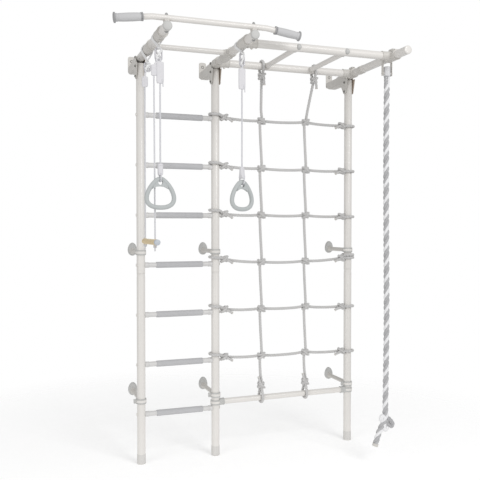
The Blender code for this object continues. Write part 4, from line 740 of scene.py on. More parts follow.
def make_rungs():
    """Ladder rungs, each with two end ferrules and a fluted grip."""
    flutes = chosen().grip_flutes
    start = POST_X["left"] + POST_RADIUS
    clear = POST_X["middle"] - POST_RADIUS - start
    low, high = (clear * share for share in GRIP_SHARES)
    rims = ((0.0, 2.6, 0.0), (0.8, 0.9, 0.1), (2.5, 0.1, 0.5), (5.0, 0.0, 1.0))
    stations = [(low + inward, drop, depth) for inward, drop, depth in rims]
    stations += [(high - inward, drop, depth) for inward, drop, depth in reversed(rims)]
    for number, z in enumerate(rung_heights(), 1):
        rung = Form()
        turned(rung, [(-3, RUNG_RADIUS), (clear + 3, RUNG_RADIUS)], place(start, 0, z), RIGHT)
        for ferrule in (-2.5, clear - 17.0):
            turned(rung, beaded(ferrule, ferrule + 19.5, 13.9, 0.7, 3.0), place(start, 0, z), RIGHT)
        rung.build("rung_tube_%d" % number, "rung_paint", ["rung_%d" % number])
        rings = []
        for along, drop, depth in stations:
            ring = []
            for angle in around(flutes * 6):
                radius = GRIP_RADIUS - drop - depth * FLUTE_DEPTH * (1 - math.cos(angle * flutes)) / 2
                ring.append(place(start + along, radius * math.cos(angle), z + radius * math.sin(angle)))
            rings.append(ring)
        grip = Form()
        grip.loft(rings)
        nodes = ["rung_grip_%d" % number]
        grip.build("rung_sleeve_%d" % number, "rung_sleeve", nodes, sharp=ROPE_SHARP)


def make_brackets():
    """Top wall brackets: back plate and screw, closed strut, cheeks beside the post and cross bolts."""
    strut = [(BRACKET_BACK, 2030.0)]
    for step in range(13):
        angle = math.pi / 2 * step / 12
        strut.append((BRACKET_BACK + 50 * (1 - math.cos(angle)), 2026 - 40 * math.sin(angle)))
    strut += [(-120, 1985), (-26, 1985), (-26, 2034), (-120, 2032)]
    cheek = [(-95, 1984), (-48, 1984), (-8, 1925), (15, 1925), (36, 2003), (12, 2003), (12, 2036)]
    cheek = rounded_corners(cheek + [(-95, 2034)], 5.0, 3)
    for side, x in POST_X.items():
        form = Form()
        plate = box_outline(x - 20, 2000, x + 20, 2089, 12.0, 6)
        slab(form, plate, WALL_FORWARD, WALL_FORWARD + 4, "forward")
        # Wall screw in the dark screw grey, which also stands for the painted shade of its hole
        turned(form, [(3.6, 8.0), (4.5, 8.0), (4.9, 7.4), (4.9, 5.0), (4.0, 4.6), (3.9, 0.0)],
               place(x, WALL_FORWARD, 2064), FORWARD, 1, 24)
        slab(form, strut, x - 21.2, x + 21.2, "x", 0, 4.0)
        slab(form, cheek, x - CHEEK_OUTSIDE, x - CHEEK_INSIDE, "x")
        slab(form, cheek, x + CHEEK_SHADE_PLATE, x + CHEEK_OUTSIDE, "x")
        # The far cheek's inner millimetre is its own plate in a brownish dark grey: painted shade on the face
        # under the arm
        slab(form, cheek, x + CHEEK_INSIDE, x + CHEEK_SHADE_PLATE, "x", 2, 0.2)
        for forward, z in ((0, 1988.0), (-1, 1938.0), (0, ARM_Z + 4)):
            bolt_pair(form, x, forward, z, 24.0, 5.6, 6.5, 1)
            # The cross bolts' shafts take the same painted shade material
            turned(form, [(-25, 4), (25, 4)], place(x, forward, z), RIGHT, 2, 20)
        form.stand_in("wall_bracket_" + side, "grey_paint screw_grey shaded_steel")


def make_standoffs():
    """Wall flanges, arms and ring clamps that hold the posts off the wall."""
    arm = [(12, 17), (18, 16.2), (24, 13.5), (32, 11.6), (44, 11.0), (205, 11.0), (212, 12.2), (217, 13)]
    lug = box_outline(-38.5, -6, -22, 6, 3.0, 3)
    clamp = mirrored([(12.5, CLAMP_BORE), (12.5, 24.9), (11.5, 25.9), (9.0, 25.9), (8.0, 25.2)])
    for level, height in STANDOFF_HEIGHT.items():
        turn = 0.0 if level == "lower" else math.radians(-75)
        cos_turn = math.cos(turn)
        sin_turn = math.sin(turn)
        for side, x in POST_X.items():
            form = Form()
            rings = []
            for depth, scale in ((0, 0.97), (1, 1.0), (8, 1.0), (13, 0.96), (17, 0.86), (19, 0.68)):
                ring = []
                for angle in around(48):
                    narrow = 1 - 0.22 * (1 + math.cos(angle)) / 2
                    dx = FLANGE_WIDTH * math.sin(angle) * narrow * scale
                    dz = FLANGE_HEIGHT * math.cos(angle) * scale
                    ring.append(place(x + dx, WALL_FORWARD + depth, height + FLANGE_RISE + dz))
                rings.append(ring)
            form.loft(rings)
            turned(form, arm, place(x, WALL_FORWARD, height), FORWARD, 1, 28)
            turned(form, clamp, place(x, 0, height), UP, closed=True)
            turned(form, CLAMP_BAND, place(x, 0, height), UP, 2, closed=True)
            outline = [(x + a * cos_turn - b * sin_turn, -(a * sin_turn + b * cos_turn)) for a, b in lug]
            slab(form, outline, height - LUG_RISE, height + LUG_RISE, "z")
            middle = Vector((x * MM - LUG_REACH * cos_turn * MM, -LUG_REACH * sin_turn * MM, height * MM))
            for way in (-1, 1):
                outward = Vector((-sin_turn, cos_turn, 0)) * way
                dome_bolt(form, middle + outward * 5.6 * MM, outward, 4.4, 3.6)
            node = "standoff_%s_%s" % (level, side)
            form.stand_in(node, "mount_grey grey_paint white_paint")


def make_arms():
    """Arms over the posts with their end plugs, and the sleeves on the outer two."""
    shaft = from_base(ARM_REAR, ARM_RADIUS, ((0, -2), (0, -0.6), (0.8, 0)))
    shaft += from_base(ARM_FRONT, ARM_RADIUS, ((-11.5, 0), (-10.5, -1.2), (-10.0, -1.6)))
    plug = from_base(ARM_FRONT, ARM_RADIUS, ((-11, -2), (-9.6, -0.6), (-8.6, 0.2), (-3.0, 0.2), (-1.0, -0.9),
                                             (0, -3.4), (0, -14), (0, -20)))
    for side, x in POST_X.items():
        form = Form()
        start = place(x, 0, ARM_Z)
        turned(form, shaft, start, FORWARD)
        turned(form, plug, start, FORWARD, 1)
        if side == "left":
            turned(form, beaded(*RAIL_SLEEVE["front_rail"], LEFT_SLEEVE_RADIUS), start, FORWARD, 2)
            hex_nut(form, place(x, RAIL_FORWARD["front_rail"], ARM_Z - LEFT_SLEEVE_RADIUS), 6.5, 2)
        if side == "right":
            turned(form, beaded(*RIGHT_COLLAR, 21.2, 0.9), start, FORWARD, 2)
        plug_look = "white_paint" if side == "right" else "mount_grey"
        form.stand_in("arm_" + side, "white_paint %s grey_paint" % plug_look)


def make_cross_tube():
    """Tube between the left and the middle arm, with a splice sleeve on each."""
    form = Form()
    span = POST_X["middle"] - POST_X["left"]
    start = place(POST_X["left"], CROSS_FORWARD, ARM_Z)
    turned(form, [(16, CROSS_RADIUS), (span - 16, CROSS_RADIUS)], start, RIGHT)
    for x in (POST_X["left"], POST_X["middle"]):
        turned(form, beaded(*SPLICE_SPAN, SPLICE_RADIUS + 0.3), place(x, 0, ARM_Z), FORWARD, 1)
        hex_nut(form, place(x, SPLICE_NUT_FORWARD, ARM_Z - SPLICE_RADIUS), 6.5, 1)
    for x, direction in ((POST_X["left"], RIGHT), (POST_X["middle"], LEFT)):
        turned(form, [(18, 18), (24, 16.5), (29, 14.5), (36, 14.2), (37, 13.2), (37, 11)],
               place(x, CROSS_FORWARD, ARM_Z), direction, 1)
    form.stand_in("cross_tube", "white_paint grey_paint")


def make_rails():
    """Rear and front rail with their clamps, the ears on the right arm and the front caps."""
    branch = [(14, 24), (20, 24), (25, BRANCH_RADIUS + 0.3)]
    branch += from_base(BRANCH_REACH, BRANCH_RADIUS, ((-5, -0.6), (-4.4, 0.8), (-0.8, 0.8), (0, 0), (0, -4)))
    end_x = POST_X["right"]
    for name, forward in RAIL_FORWARD.items():
        form = Form()
        turned(form, [(18, RAIL_RADIUS), (end_x - 18, RAIL_RADIUS)], place(0, forward, ARM_Z), RIGHT)
        for x, way, direction in ((0.0, 1, RIGHT), (end_x, -1, LEFT)):
            turned(form, beaded(*RAIL_SLEEVE[name], SLEEVE_RADIUS + 0.4), place(x, 0, ARM_Z), FORWARD, 1)
            turned(form, branch, place(x, forward, ARM_Z), direction, 1)
            hex_nut(form, place(x + way * 34.0, forward, ARM_Z - 21.5), 6.0, 1)
        ear = box_outline(forward - 20, ARM_Z + 20, forward + 20, ARM_Z + 36, 6.0)
        for middle in (end_x - 5, end_x + 5):
            slab(form, ear, middle - 3.4, middle + 3.4, "x", 1)
        for offset in EAR_BOLTS[name]:
            bolt_pair(form, end_x, forward + offset, ARM_Z + 28, 8.0, 5.0, 4.6, 1)
        if name == "front_rail":
            for x in OVERHEAD_X.values():
                dome_bolt(form, place(x, forward + RAIL_RADIUS - 3.5, ARM_Z), FORWARD, 12.5, 11.0, 2)
        form.stand_in(name, "white_paint grey_paint mount_grey")


def make_overhead_rungs():
    """Rungs between the rails, with a collar at each end."""
    rear = RAIL_FORWARD["rear_rail"]
    front = RAIL_FORWARD["front_rail"]
    for side, x in OVERHEAD_X.items():
        form = Form()
        start = place(x, 0, ARM_Z)
        turned(form, [(rear + 12, RUNG_RADIUS), (front - 12, RUNG_RADIUS)], start, FORWARD)
        for low in (rear + 13, front - 31):
            turned(form, beaded(low, low + 18, 14.7, 0.8, 3.0), start, FORWARD, 1)
        form.stand_in("overhead_rung_" + side, "white_paint grey_paint")


def pull_point(side, reach):
    """Point on the pull-up bar's axis, a reach outside the arm on that side."""
    arm_x, outward = (POST_X["left"], -1) if side == "left" else (POST_X["middle"], 1)
    beyond = max(0.0, reach - PULL_STRAIGHT)
    flat = min(reach, PULL_STRAIGHT) + beyond * math.cos(PULL_BEND)
    return place(arm_x + outward * flat, PULL_FORWARD, PULL_Z - beyond * math.sin(PULL_BEND))


def make_pull_up_bar():
    """Bent bar over two arms, on saddles with dome nuts, and a hand grip on each end."""
    form = Form()
    reaches = (HANDLE_SPAN[0] + 60, 80, 68, 62, 58, 52, 40)
    line = [pull_point("left", reach) for reach in reaches]
    line += [pull_point("right", reach) for reach in reversed(reaches)]
    tube(form, line, PULL_RADIUS, sides=chosen().tube_sides)
    for x in (POST_X["left"], POST_X["middle"]):
        base = box_outline(x - 11, PULL_FORWARD - 15, x + 11, PULL_FORWARD + 15, 4.0)
        slab(form, base, ARM_Z + 16, PULL_Z - 9.5, "z", 1)
        dome_bolt(form, place(x, PULL_FORWARD, PULL_Z + 11.0), UP, 7.0, 10.5, 2)
        dome_bolt(form, place(x, PULL_FORWARD, ARM_Z - 19.4), DOWN, 7.0, 6.5, 2)
    form.stand_in("pull_up_bar", "white_paint grey_paint bolt_grey")
    length = HANDLE_SPAN[1] - HANDLE_SPAN[0]
    neck = [(-0.3, 12.8), (0.0, 17.9), (0.8, 18.5), (3.2, 18.5), (4.0, 17.8), (4.6, 15.6)]
    neck += [(6.4, 15.6), (7.0, 17.2), (7.6, 17.6), (9.6, 17.6), (10.4, 16.8)]
    palm = [(10.0, 15.0), (10.6, 16.3)]
    for step in range(11):
        share = step / 10
        palm.append((12 + (length - 32) * share, 16.4 + 1.3 * math.sin(math.pi * share) ** 0.7))
    palm += from_base(length, 0, (
        (-19.4, 15.8), (-17.2, 15.8), (-16.6, 16.8), (-8, 17.2), (-6.6, 17.6), (-6.2, 14.0)))
    cap = from_base(length, 0, (
        (-6.4, 14.0), (-6.2, 21.2), (-5.4, 22.0), (-1.4, 22.0), (-0.2, 20.9), (0, 19.0), (0, 0)))
    for side in ("left", "right"):
        start = pull_point(side, HANDLE_SPAN[0])
        direction = (pull_point(side, HANDLE_SPAN[1]) - start).normalized()
        grip = Form()
        for profile, look in ((neck, 1), (palm, 0), (cap, 1)):
            turned(grip, profile, start, direction, look)
        grip.stand_in("bar_grip_" + side, "bar_rubber dark_rubber")


def make_net_bar():
    """Low bar between the middle and the right post, with its ring clamps."""
    form = Form()
    low = place(0, 0, NET_BAR_Z["middle"])
    high = place(POST_X["right"], 0, NET_BAR_Z["right"])
    direction = (high - low).normalized()
    length = (high - low).length / MM
    socket = [(19, 19.5), (25, 18.8), (29, 18.0), (42, 17.6)]
    socket += [(42.6, 18.6), (45.4, 18.6), (46, 17.8), (46, 12)]
    clamp = mirrored([(12.5, CLAMP_BORE), (12.5, 24.6), (11.5, 25.7), (8.5, 25.7), (7.5, 25.0)])
    turned(form, [(20, NET_BAR_RADIUS), (length - 20, NET_BAR_RADIUS)], low, direction)
    for x, centre, way in ((0.0, low, direction), (POST_X["right"], high, -direction)):
        turned(form, clamp, centre, UP, 1, closed=True)
        turned(form, socket, centre, way, 1)
        dome_bolt(form, centre + way * 38 * MM + FORWARD * 17.2 * MM, FORWARD, 4.6, 4.0, 1)
        turned(form, CLAMP_BAND, centre, UP, closed=True)
        z = centre.z / MM
        slab(form, box_outline(x - 6, -37, x + 6, -22, 3.0, 3), z - 10, z + 10, "z", 1)
    form.stand_in("net_bar", "white_paint mount_grey")


# Net

def net_rope(form, line, share=1.0, tight=1.0, start=0.0, closed=False):
    """Net rope along a line, at a share of its full thickness and of its twist."""
    laid_rope(form, line, NET_RADIUS * share, chosen().net_twist / MM * tight, start=start, closed=closed)


def net_knot(form, x, forward, z, lean=1):
    """Bunch of turns where two ropes are knotted."""
    for rise, tilt, reach in ((7.5, 0.45, 13.4), (-7.5, 0.45, 13.4), (0.5, -0.8, 15.0)):
        line = []
        for angle in around(20):
            dx = reach * math.cos(angle)
            height = z + rise + dx * math.sin(tilt * lean)
            line.append(place(x + dx, forward + reach * 0.86 * math.sin(angle), height))
        net_rope(form, line, 0.86, 0.8, rise, True)
    ends = ((-19, 2, -13), (-10, 16, -7), (2, 20, 1), (12, 15, 9), (20, 3, 15))
    over = curve(SHORT_STEP, *[(x + dx, forward + ahead, z + dz * lean) for dx, ahead, dz in ends])
    net_rope(form, over, 0.76, 0.8)


def rope_tail(form, x, forward, z, steps, share=0.85):
    """Loose end of rope with a bound tip, from a knot's place."""
    line = curve(SHORT_STEP, *[(x + dx, forward + ahead, z + dz) for dx, ahead, dz in steps])
    net_rope(form, line, share)
    radius = NET_RADIUS * share
    tip = (line[-1] - line[-2]).normalized()
    binding = [(-3.0, radius * 0.9), (-2.4, radius * 1.02), (1.4, radius * 1.02), (2.2, radius * 0.8)]
    turned(form, binding, line[-1], tip, 1, 16)


def post_loop(form, post_x, side, reach, lift, knot_z, z):
    """Rope from a knot round a post and back, lifted on the far side."""
    clear = POST_RADIUS + NET_RADIUS + LOOP_GAP
    wrap = math.pi - math.acos(clear / reach)
    spots = [(post_x + side * reach, 3, knot_z)]
    for step in range(13):
        angle = math.pi - wrap + 2 * wrap * step / 12
        rise = lift * (1 - math.cos(angle)) / 2
        spots.append((post_x + side * clear * math.cos(angle), clear * math.sin(angle), z + rise))
    spots.append((post_x + side * reach, -3, knot_z))
    net_rope(form, curve(LONG_STEP, *spots))


def bar_loop(form, x, forward, z, bar_radius, knot_z):
    """Rope from a knot over or under a level bar and back."""
    clear = bar_radius + NET_RADIUS + LOOP_GAP
    up = 1 if knot_z > z else -1
    wrap = math.pi - math.acos(clear / abs(knot_z - z))
    spots = [(x + 3, forward, knot_z)]
    for step in range(13):
        angle = math.pi - wrap + 2 * wrap * step / 12
        ahead = clear * math.sin(angle)
        spots.append((x + 3 - 6 * step / 12, forward + ahead, z + up * clear * math.cos(angle)))
    spots.append((x - 3, forward, knot_z))
    net_rope(form, curve(LONG_STEP, *spots))


def make_net():
    """Cross ropes and upright ropes, knotted where they meet and tied round posts, rail and bar."""
    sag = chosen().net_sag / MM
    quarters = (0.25, 0.5, 0.75)
    end_x = POST_X["right"]
    end_reach = end_x - NET_RIGHT_KNOT
    rear = RAIL_FORWARD["rear_rail"]
    form = Form()
    for index, (z_post, z_left, z_first, z_second, z_right, z_end) in enumerate(NET_ROWS):
        stations = ((NET_LEFT_KNOT, z_left), (NET_COLUMN_X[0], z_first), (NET_COLUMN_X[1], z_second),
                    (NET_RIGHT_KNOT, z_right))
        spots = []
        for (x, z), (next_x, next_z) in zip(stations, stations[1:]):
            spots.append((x, -3, z))
            for share in quarters:
                drop = sag * 4 * share * (1 - share)
                spots.append((x + (next_x - x) * share, -1, z + (next_z - z) * share - drop))
        spots.append((NET_RIGHT_KNOT, -3, z_right))
        net_rope(form, curve(LONG_STEP, *spots), start=index * 0.7)
        post_loop(form, 0, 1, NET_LEFT_KNOT, 5, z_left, z_post)
        post_loop(form, end_x, -1, end_reach, 0, z_right, z_end)
        if index == NET_DOUBLE_ROW:
            post_loop(form, end_x, -1, end_reach, 0, z_right + 10, z_end + 15)
        net_knot(form, NET_LEFT_KNOT, 0, z_left, 1)
        net_knot(form, NET_RIGHT_KNOT, 0, z_right, -1)
        for column, z in enumerate((z_first, z_second)):
            net_knot(form, NET_COLUMN_X[column], 1, z, 1 if (index + column) % 2 else -1)
        rope_tail(form, NET_LEFT_KNOT, 0, z_left, ((2, 10, 2), (22, 15, -8), (43, 14, -20)))
        rope_tail(form, NET_RIGHT_KNOT, 0, z_right, ((-3, 10, 0), (-22, 14, -8), (-42, 12, -17)))
    for column, (x, top_x) in enumerate(zip(NET_COLUMN_X, NET_TOP_X)):
        heights = [row[2 + column] for row in NET_ROWS]
        spots = [(top_x, rear, NET_TOP_KNOT)]
        for share in quarters:
            spots.append((top_x + (x - top_x) * share, rear * (1 - share) ** 1.1,
                          NET_TOP_KNOT + (heights[0] - NET_TOP_KNOT) * share))
        for z in heights:
            spots += [(x + 3, 3, z + 16), (x, 3, z), (x - 7, 3, z - 16), (x - 4, 1, z - 90)]
        spots += [(x + 3, 3, NET_BOTTOM_KNOT + 16), (x, 3, NET_BOTTOM_KNOT)]
        net_rope(form, curve(LONG_STEP, *spots), start=column)
        bar_loop(form, top_x, rear, ARM_Z, RAIL_RADIUS, NET_TOP_KNOT)
        bar_height = NET_BAR_Z["middle"] + (NET_BAR_Z["right"] - NET_BAR_Z["middle"]) * x / end_x
        bar_loop(form, x, 0, bar_height, NET_BAR_RADIUS, NET_BOTTOM_KNOT)
        net_knot(form, top_x, rear, NET_TOP_KNOT, 1)
        net_knot(form, x, 0, NET_BOTTOM_KNOT, -1)
        rope_tail(form, x, 0, NET_BOTTOM_KNOT, ((-2, 12, 0), (-12, 15, 20), (-18, 14, 46)))
        rope_tail(form, top_x, rear, NET_TOP_KNOT, ((2, 8, 0), (9, 12, -20), (11, 12, -44)), 0.9)
    form.stand_in("climbing_net", "net_fibre grey_paint", sharp=ROPE_SHARP)


# Slings, rings and trapeze

def wire_heights(name):
    """Heights of the upper and the lower wire of a sling's link."""
    return SLINGS[name][3] - WIRE_RADIUS, SLINGS[name][4] + WIRE_RADIUS


def make_slings():
    """Webbing slings round the arms, lashed to their steel links."""
    for name, (post, at_arm, at_link, top, bottom, half) in SLINGS.items():
        x = POST_X[post]
        high_wire, low_wire = wire_heights(name)
        eye_z = high_wire + 0.7
        fork = eye_z + 10.0
        radius = 2.5 + (SPLICE_RADIUS + 0.6 if name == "left_rear" else ARM_RADIUS)
        leave = math.acos(radius / (ARM_Z - fork + 2)) - math.pi / 2
        apart = 1.7
        outline = []
        for step in range(-5, 6):
            angle = -math.pi / 2 + step * math.radians(22)
            outline.append((5.6 * math.cos(angle), eye_z + 5.6 * math.sin(angle)))
        leg = [(apart, fork)]
        for share in (0.2, 0.4, 0.6, 0.8):
            leg.append((apart + (radius * math.cos(leave) - apart) * share,
                        fork + (ARM_Z + radius * math.sin(leave) - fork) * share))
        outline += leg
        for step in range(25):
            angle = leave + (math.pi - 2 * leave) * step / 24
            outline.append((radius * math.cos(angle), ARM_Z + radius * math.sin(angle)))
        outline += [(-dx, z) for dx, z in reversed(leg)]

        def strap_point(dx, z, aside=0.0, lower=0.0):
            """Point on the strap's line, moved forward on its way from the arm to the link."""
            slide = (at_link - at_arm) * max(0.0, (ARM_Z - z) / (ARM_Z - eye_z))
            return place(x + dx + aside, at_arm + slide, z - lower)

        form = Form()
        strap = [strap_point(dx, z) for dx, z in outline]
        lap = [strap_point(dx, z, 2.4, 0.6) for dx, z in outline[12:17]]
        ribbon(form, strap, STRAP_WIDTH, STRAP_DEPTH, FORWARD, closed=True)
        ribbon(form, lap, STRAP_WIDTH - 2, 2.0, FORWARD)
        wide = min(half - WIRE_RADIUS, 14.5)
        middle = (low_wire + high_wire) / 2
        for way in (-1, 1):
            lashing = curve(SHORT_STEP, (x - way * 2, at_link + way * 5, high_wire + 3),
                            (x + way * (wide - 3), at_link + way * 6, high_wire - 9),
                            (x + way * 3, at_link + way * 6, middle + 3),
                            (x - way * (wide - 4), at_link + way * 6, low_wire + 11),
                            (x - way * 5, at_link + way * 4, low_wire + 7))
            tube(form, lashing, LASHING_RADIUS, sides=16, rounded=True)
        form.stand_in(name + "_sling", "white_webbing", name + "_sling")
        link = Form()
        corners = [(wide, low_wire), (wide, high_wire), (-wide, high_wire), (-wide, low_wire)]
        bent = [place(x + dx, at_link, z) for dx, z in rounded_corners(corners, 11.0, 7)]
        tube(link, bent, WIRE_RADIUS, closed=True)
        weld = [(-4, 3.4), (-2.5, 4.1), (0, 4.3), (2.5, 4.1), (4, 3.4)]
        turned(link, weld, place(x - wide, at_link, middle), UP, 0, 20)
        link.stand_in(name + "_link", "plated_steel", name + "_sling")


def cord_eye(form, x, forward, wire_z):
    """Flat band of cord round the link's lower bow."""
    line = []
    for angle in around(24):
        line.append(place(x, forward + 5.9 * math.cos(angle), wire_z - 0.7 + 5.9 * math.sin(angle)))
    ribbon(form, line, 8.0, 2.8, RIGHT, 0, True)


def flat_sleeve(form, x, forward, rows):
    """Sewn flat sleeve through rows of (z, width, depth), in the piece's second look."""
    form.loft([flat_ring(x, forward, *row) for row in rows], 1)


def seam_rib(form, x, forward, z, width, depth, rise, swell):
    """Raised line of stitches round a flat sleeve."""
    flat_sleeve(form, x, forward, ((z, width, depth), (z + rise, width + swell, depth + 0.8),
                                   (z + 2 * rise, width, depth)))


def make_rings():
    """Ring cords with their adjusters, and the rings that hang on them."""
    for side, (sling, offset, bottom, turn) in RINGS.items():
        body = side + "_ring_cord"
        x = POST_X[SLINGS[sling][0]] + offset
        forward = SLINGS[sling][2]
        wire = wire_heights(sling)[1]
        sleeve_low = bottom + RING_HEIGHT + 5.5
        sleeve_high = sleeve_low + 52.0
        levels = (wire - 5.0, 1880.0, 1780.0, 1700.0, 1620.0, 1540.0, sleeve_high - 1.0)
        line = curve(LONG_STEP, *[(x, forward, z) for z in levels])
        cord = Form()
        laid_rope(cord, line, CORD_RADIUS * RING_CORD_SHARE, CORD_TWIST)
        piece = cord.build(body + "_line", "braided_cord", [body], body, ROPE_SHARP)
        extra = Form()
        cord_eye(extra, x, forward, wire)
        flat_sleeve(extra, x, forward, RING_ADJUSTER + ((wire - 5.5, 8.5, 6.5),))
        for z in (1836.0, 1888.0):
            seam_rib(extra, x, forward, z, 32.6, 10.8, 1.2, 0.6)
        loose_end = ((9, 4.5, 1842), (10.5, 6.5, 1828), (12, 5, 1810))
        spots = [(x + dx, forward + ahead, z) for dx, ahead, z in loose_end]
        tube(extra, curve(SHORT_STEP, *spots), 2.6, sides=14, rounded=True)
        adjuster = extra.build(side + "_ring_adjuster", "braided_cord sewn_sleeve", (), body)
        make_ring_sleeve(side, x, forward, bottom, turn, sleeve_low, sleeve_high)
        make_ring(side, x, forward, bottom, turn)


def turn_form(form, x, forward, degrees):
    """Turn a whole form about the upright line through a point."""
    centre = place(x, forward, 0)
    matrix = Matrix.Rotation(math.radians(degrees), 4, "Z")
    form.points = [matrix @ (point - centre) + centre for point in form.points]


def make_ring_sleeve(side, x, forward, bottom, turn, low, high):
    """Sewn sleeve over a ring and the cord's loop through the ring's hole."""
    top = bottom + RING_HEIGHT
    reach = RING_TUBE + 4.7
    sleeve = Form()
    flat_sleeve(sleeve, x, forward, (
        (low, 15, 2 * reach + 2), (low + 1.5, 18, 2 * reach + 4), (low + 6, 22, 2 * reach),
        (low + 16, 24, 23), (low + 36, 24, 17), (high - 4, 24, 15.6), (high - 1.5, 22.5, 14),
        (high - 0.5, 18, 12), (high, 10, 9)))
    for z in (low + 20.0, high - 9.0):
        seam_rib(sleeve, x, forward, z, 22.6, 17.5, 1.1, 0.8)
    under = top - RING_HOLE_DROP + 9.3 - 3.9
    half = ((reach, low + 8), (reach, top - 6), (reach - 2.4, under + 4), (6, under))
    loop = [(x, forward - ahead, z) for ahead, z in half]
    loop += [(x, forward + ahead, z) for ahead, z in reversed(half)]
    laid_rope(sleeve, curve(2.5, *loop), 3.5, 14.0)
    turn_form(sleeve, x, forward, turn)
    sleeve.stand_in(side + "_ring_sleeve", "braided_cord sewn_sleeve", side + "_ring")


def reach_to(outline, centre_z, way):
    """How far an outline lies from a point on its middle line, along one way."""
    best = 0.0
    for (ax, az), (bx, bz) in zip(outline, outline[1:] + outline[:1]):
        wide = bx - ax
        tall = bz - az
        base = way[0] * tall - way[1] * wide
        if abs(base) < 1e-9:
            continue
        share = (ax * way[1] - (az - centre_z) * way[0]) / base
        if 0 <= share <= 1:
            best = max(best, (ax * tall - (az - centre_z) * wide) / base)
    return best


def make_ring(side, x, forward, bottom, turn):
    """Rounded triangle of tube with a web that holds the cord's hole."""
    top = bottom + RING_HEIGHT
    low = bottom + RING_TUBE
    high = top - RING_TUBE
    spots = []
    for angle in around(48):
        wide = abs(math.sin(angle)) ** (0.84 if math.cos(angle) > 0 else 1.0)
        dx = RING_WIDTH * math.copysign(wide, math.sin(angle)) * (1 + RING_EGG * math.cos(angle))
        spots.append(place(x + dx, forward, low + (high - low) * (1 - math.cos(angle)) / 2))
    ring = Form()
    tube(ring, smooth_line(spots, 3.0, True), RING_TUBE, 0, 28, True)
    hole_z = top - RING_HOLE_DROP
    foot = top - 45.0
    arch = [(44, foot - 24), (36, foot - 11), (26, foot - 3), (14, foot + 1)]
    web = [(18, high - 4), (0, high + 5), (-18, high - 4)] + [(-dx, z) for dx, z in arch] + [(0, foot + 2)]
    web += list(reversed(arch))
    ways = [(math.cos(angle), math.sin(angle)) for angle in around(48)]
    rings = []
    for depth, radius in ((-8.0, 11.2), (-6.8, 10.0), (6.8, 10.0), (8.0, 11.2)):
        rings.append([place(x + a * radius, forward + depth, hole_z + b * radius) for a, b in ways])
    edge = [(way, reach_to(web, hole_z, way)) for way in ways]
    for depth in (7.2, -7.2):
        rings.append([place(x + a * reach, forward + depth, hole_z + b * reach) for (a, b), reach in edge])
    ring.loft(rings, 0, True)
    turn_form(ring, x, forward, turn)
    ring.stand_in(side + "_ring", "ring_plastic", side + "_ring")


def make_trapeze_cord(which):
    """One cord of the trapeze with its adjuster, from the link down to the bar."""
    sling, adjuster_x, low, high, width, end_forward = TRAPEZE_CORDS[which]
    body = "trapeze_%s_cord" % which
    at_link = SLINGS[sling][2]
    wire = wire_heights(sling)[1]
    end_z = TRAPEZE_Z + TRAPEZE_RADIUS + 1.0
    half_way_x = (adjuster_x + TRAPEZE_EYE_X) / 2

    def forward_at(z):
        """How far forward the cord stands at a height."""
        return at_link + (end_forward - at_link) * (wire - z) / (wire - end_z)

    spots = [(TRAPEZE_EYE_X, at_link, wire - 5.0), (half_way_x, forward_at(high), high)]
    spots += [(adjuster_x, forward_at(z), z) for z in (high - 12, low + 7)]
    for share in (0.2, 0.4, 0.6, 0.8, 1.0):
        z = low + 4 + (end_z - low - 4) * share
        spots.append((adjuster_x + (TRAPEZE_X - adjuster_x) * share, forward_at(z), z))
    line = curve(LONG_STEP, *spots)
    cord = Form()
    laid_rope(cord, line, CORD_RADIUS, CORD_TWIST)
    piece = cord.build(body + "_line", "braided_cord", [body], body, ROPE_SHARP)
    extra = Form()
    cord_eye(extra, TRAPEZE_EYE_X, at_link, wire)
    outline = (
        (low, low, 9.5, 9), (low, low + 1.0, width - 4, 10), (low, low + 4, width - 1, 10),
        (low + 10, low + 10, width, 9.6), (high - 14, high - 14, width, 9.6),
        (high - 5, high - 5, width - 1, 9.6), (high - 3, high - 3, width - 5, 9))
    rings = [flat_ring(adjuster_x, forward_at(level), z, wide, deep) for level, z, wide, deep in outline]
    rings.append(flat_ring(half_way_x - 1, forward_at(high), high, 9.5, 8))
    rings.append(flat_ring(TRAPEZE_EYE_X, at_link, wire - 5.5, 8.5, 6.5))
    extra.loft(rings, 1)
    for z in (low + 13.0, high - 17.0):
        seam_rib(extra, adjuster_x, forward_at(z), z, width + 0.6, 9.9, 1.1, 0.7)
    adjuster = extra.build(body + "_adjuster", "braided_cord sewn_sleeve", (), body)


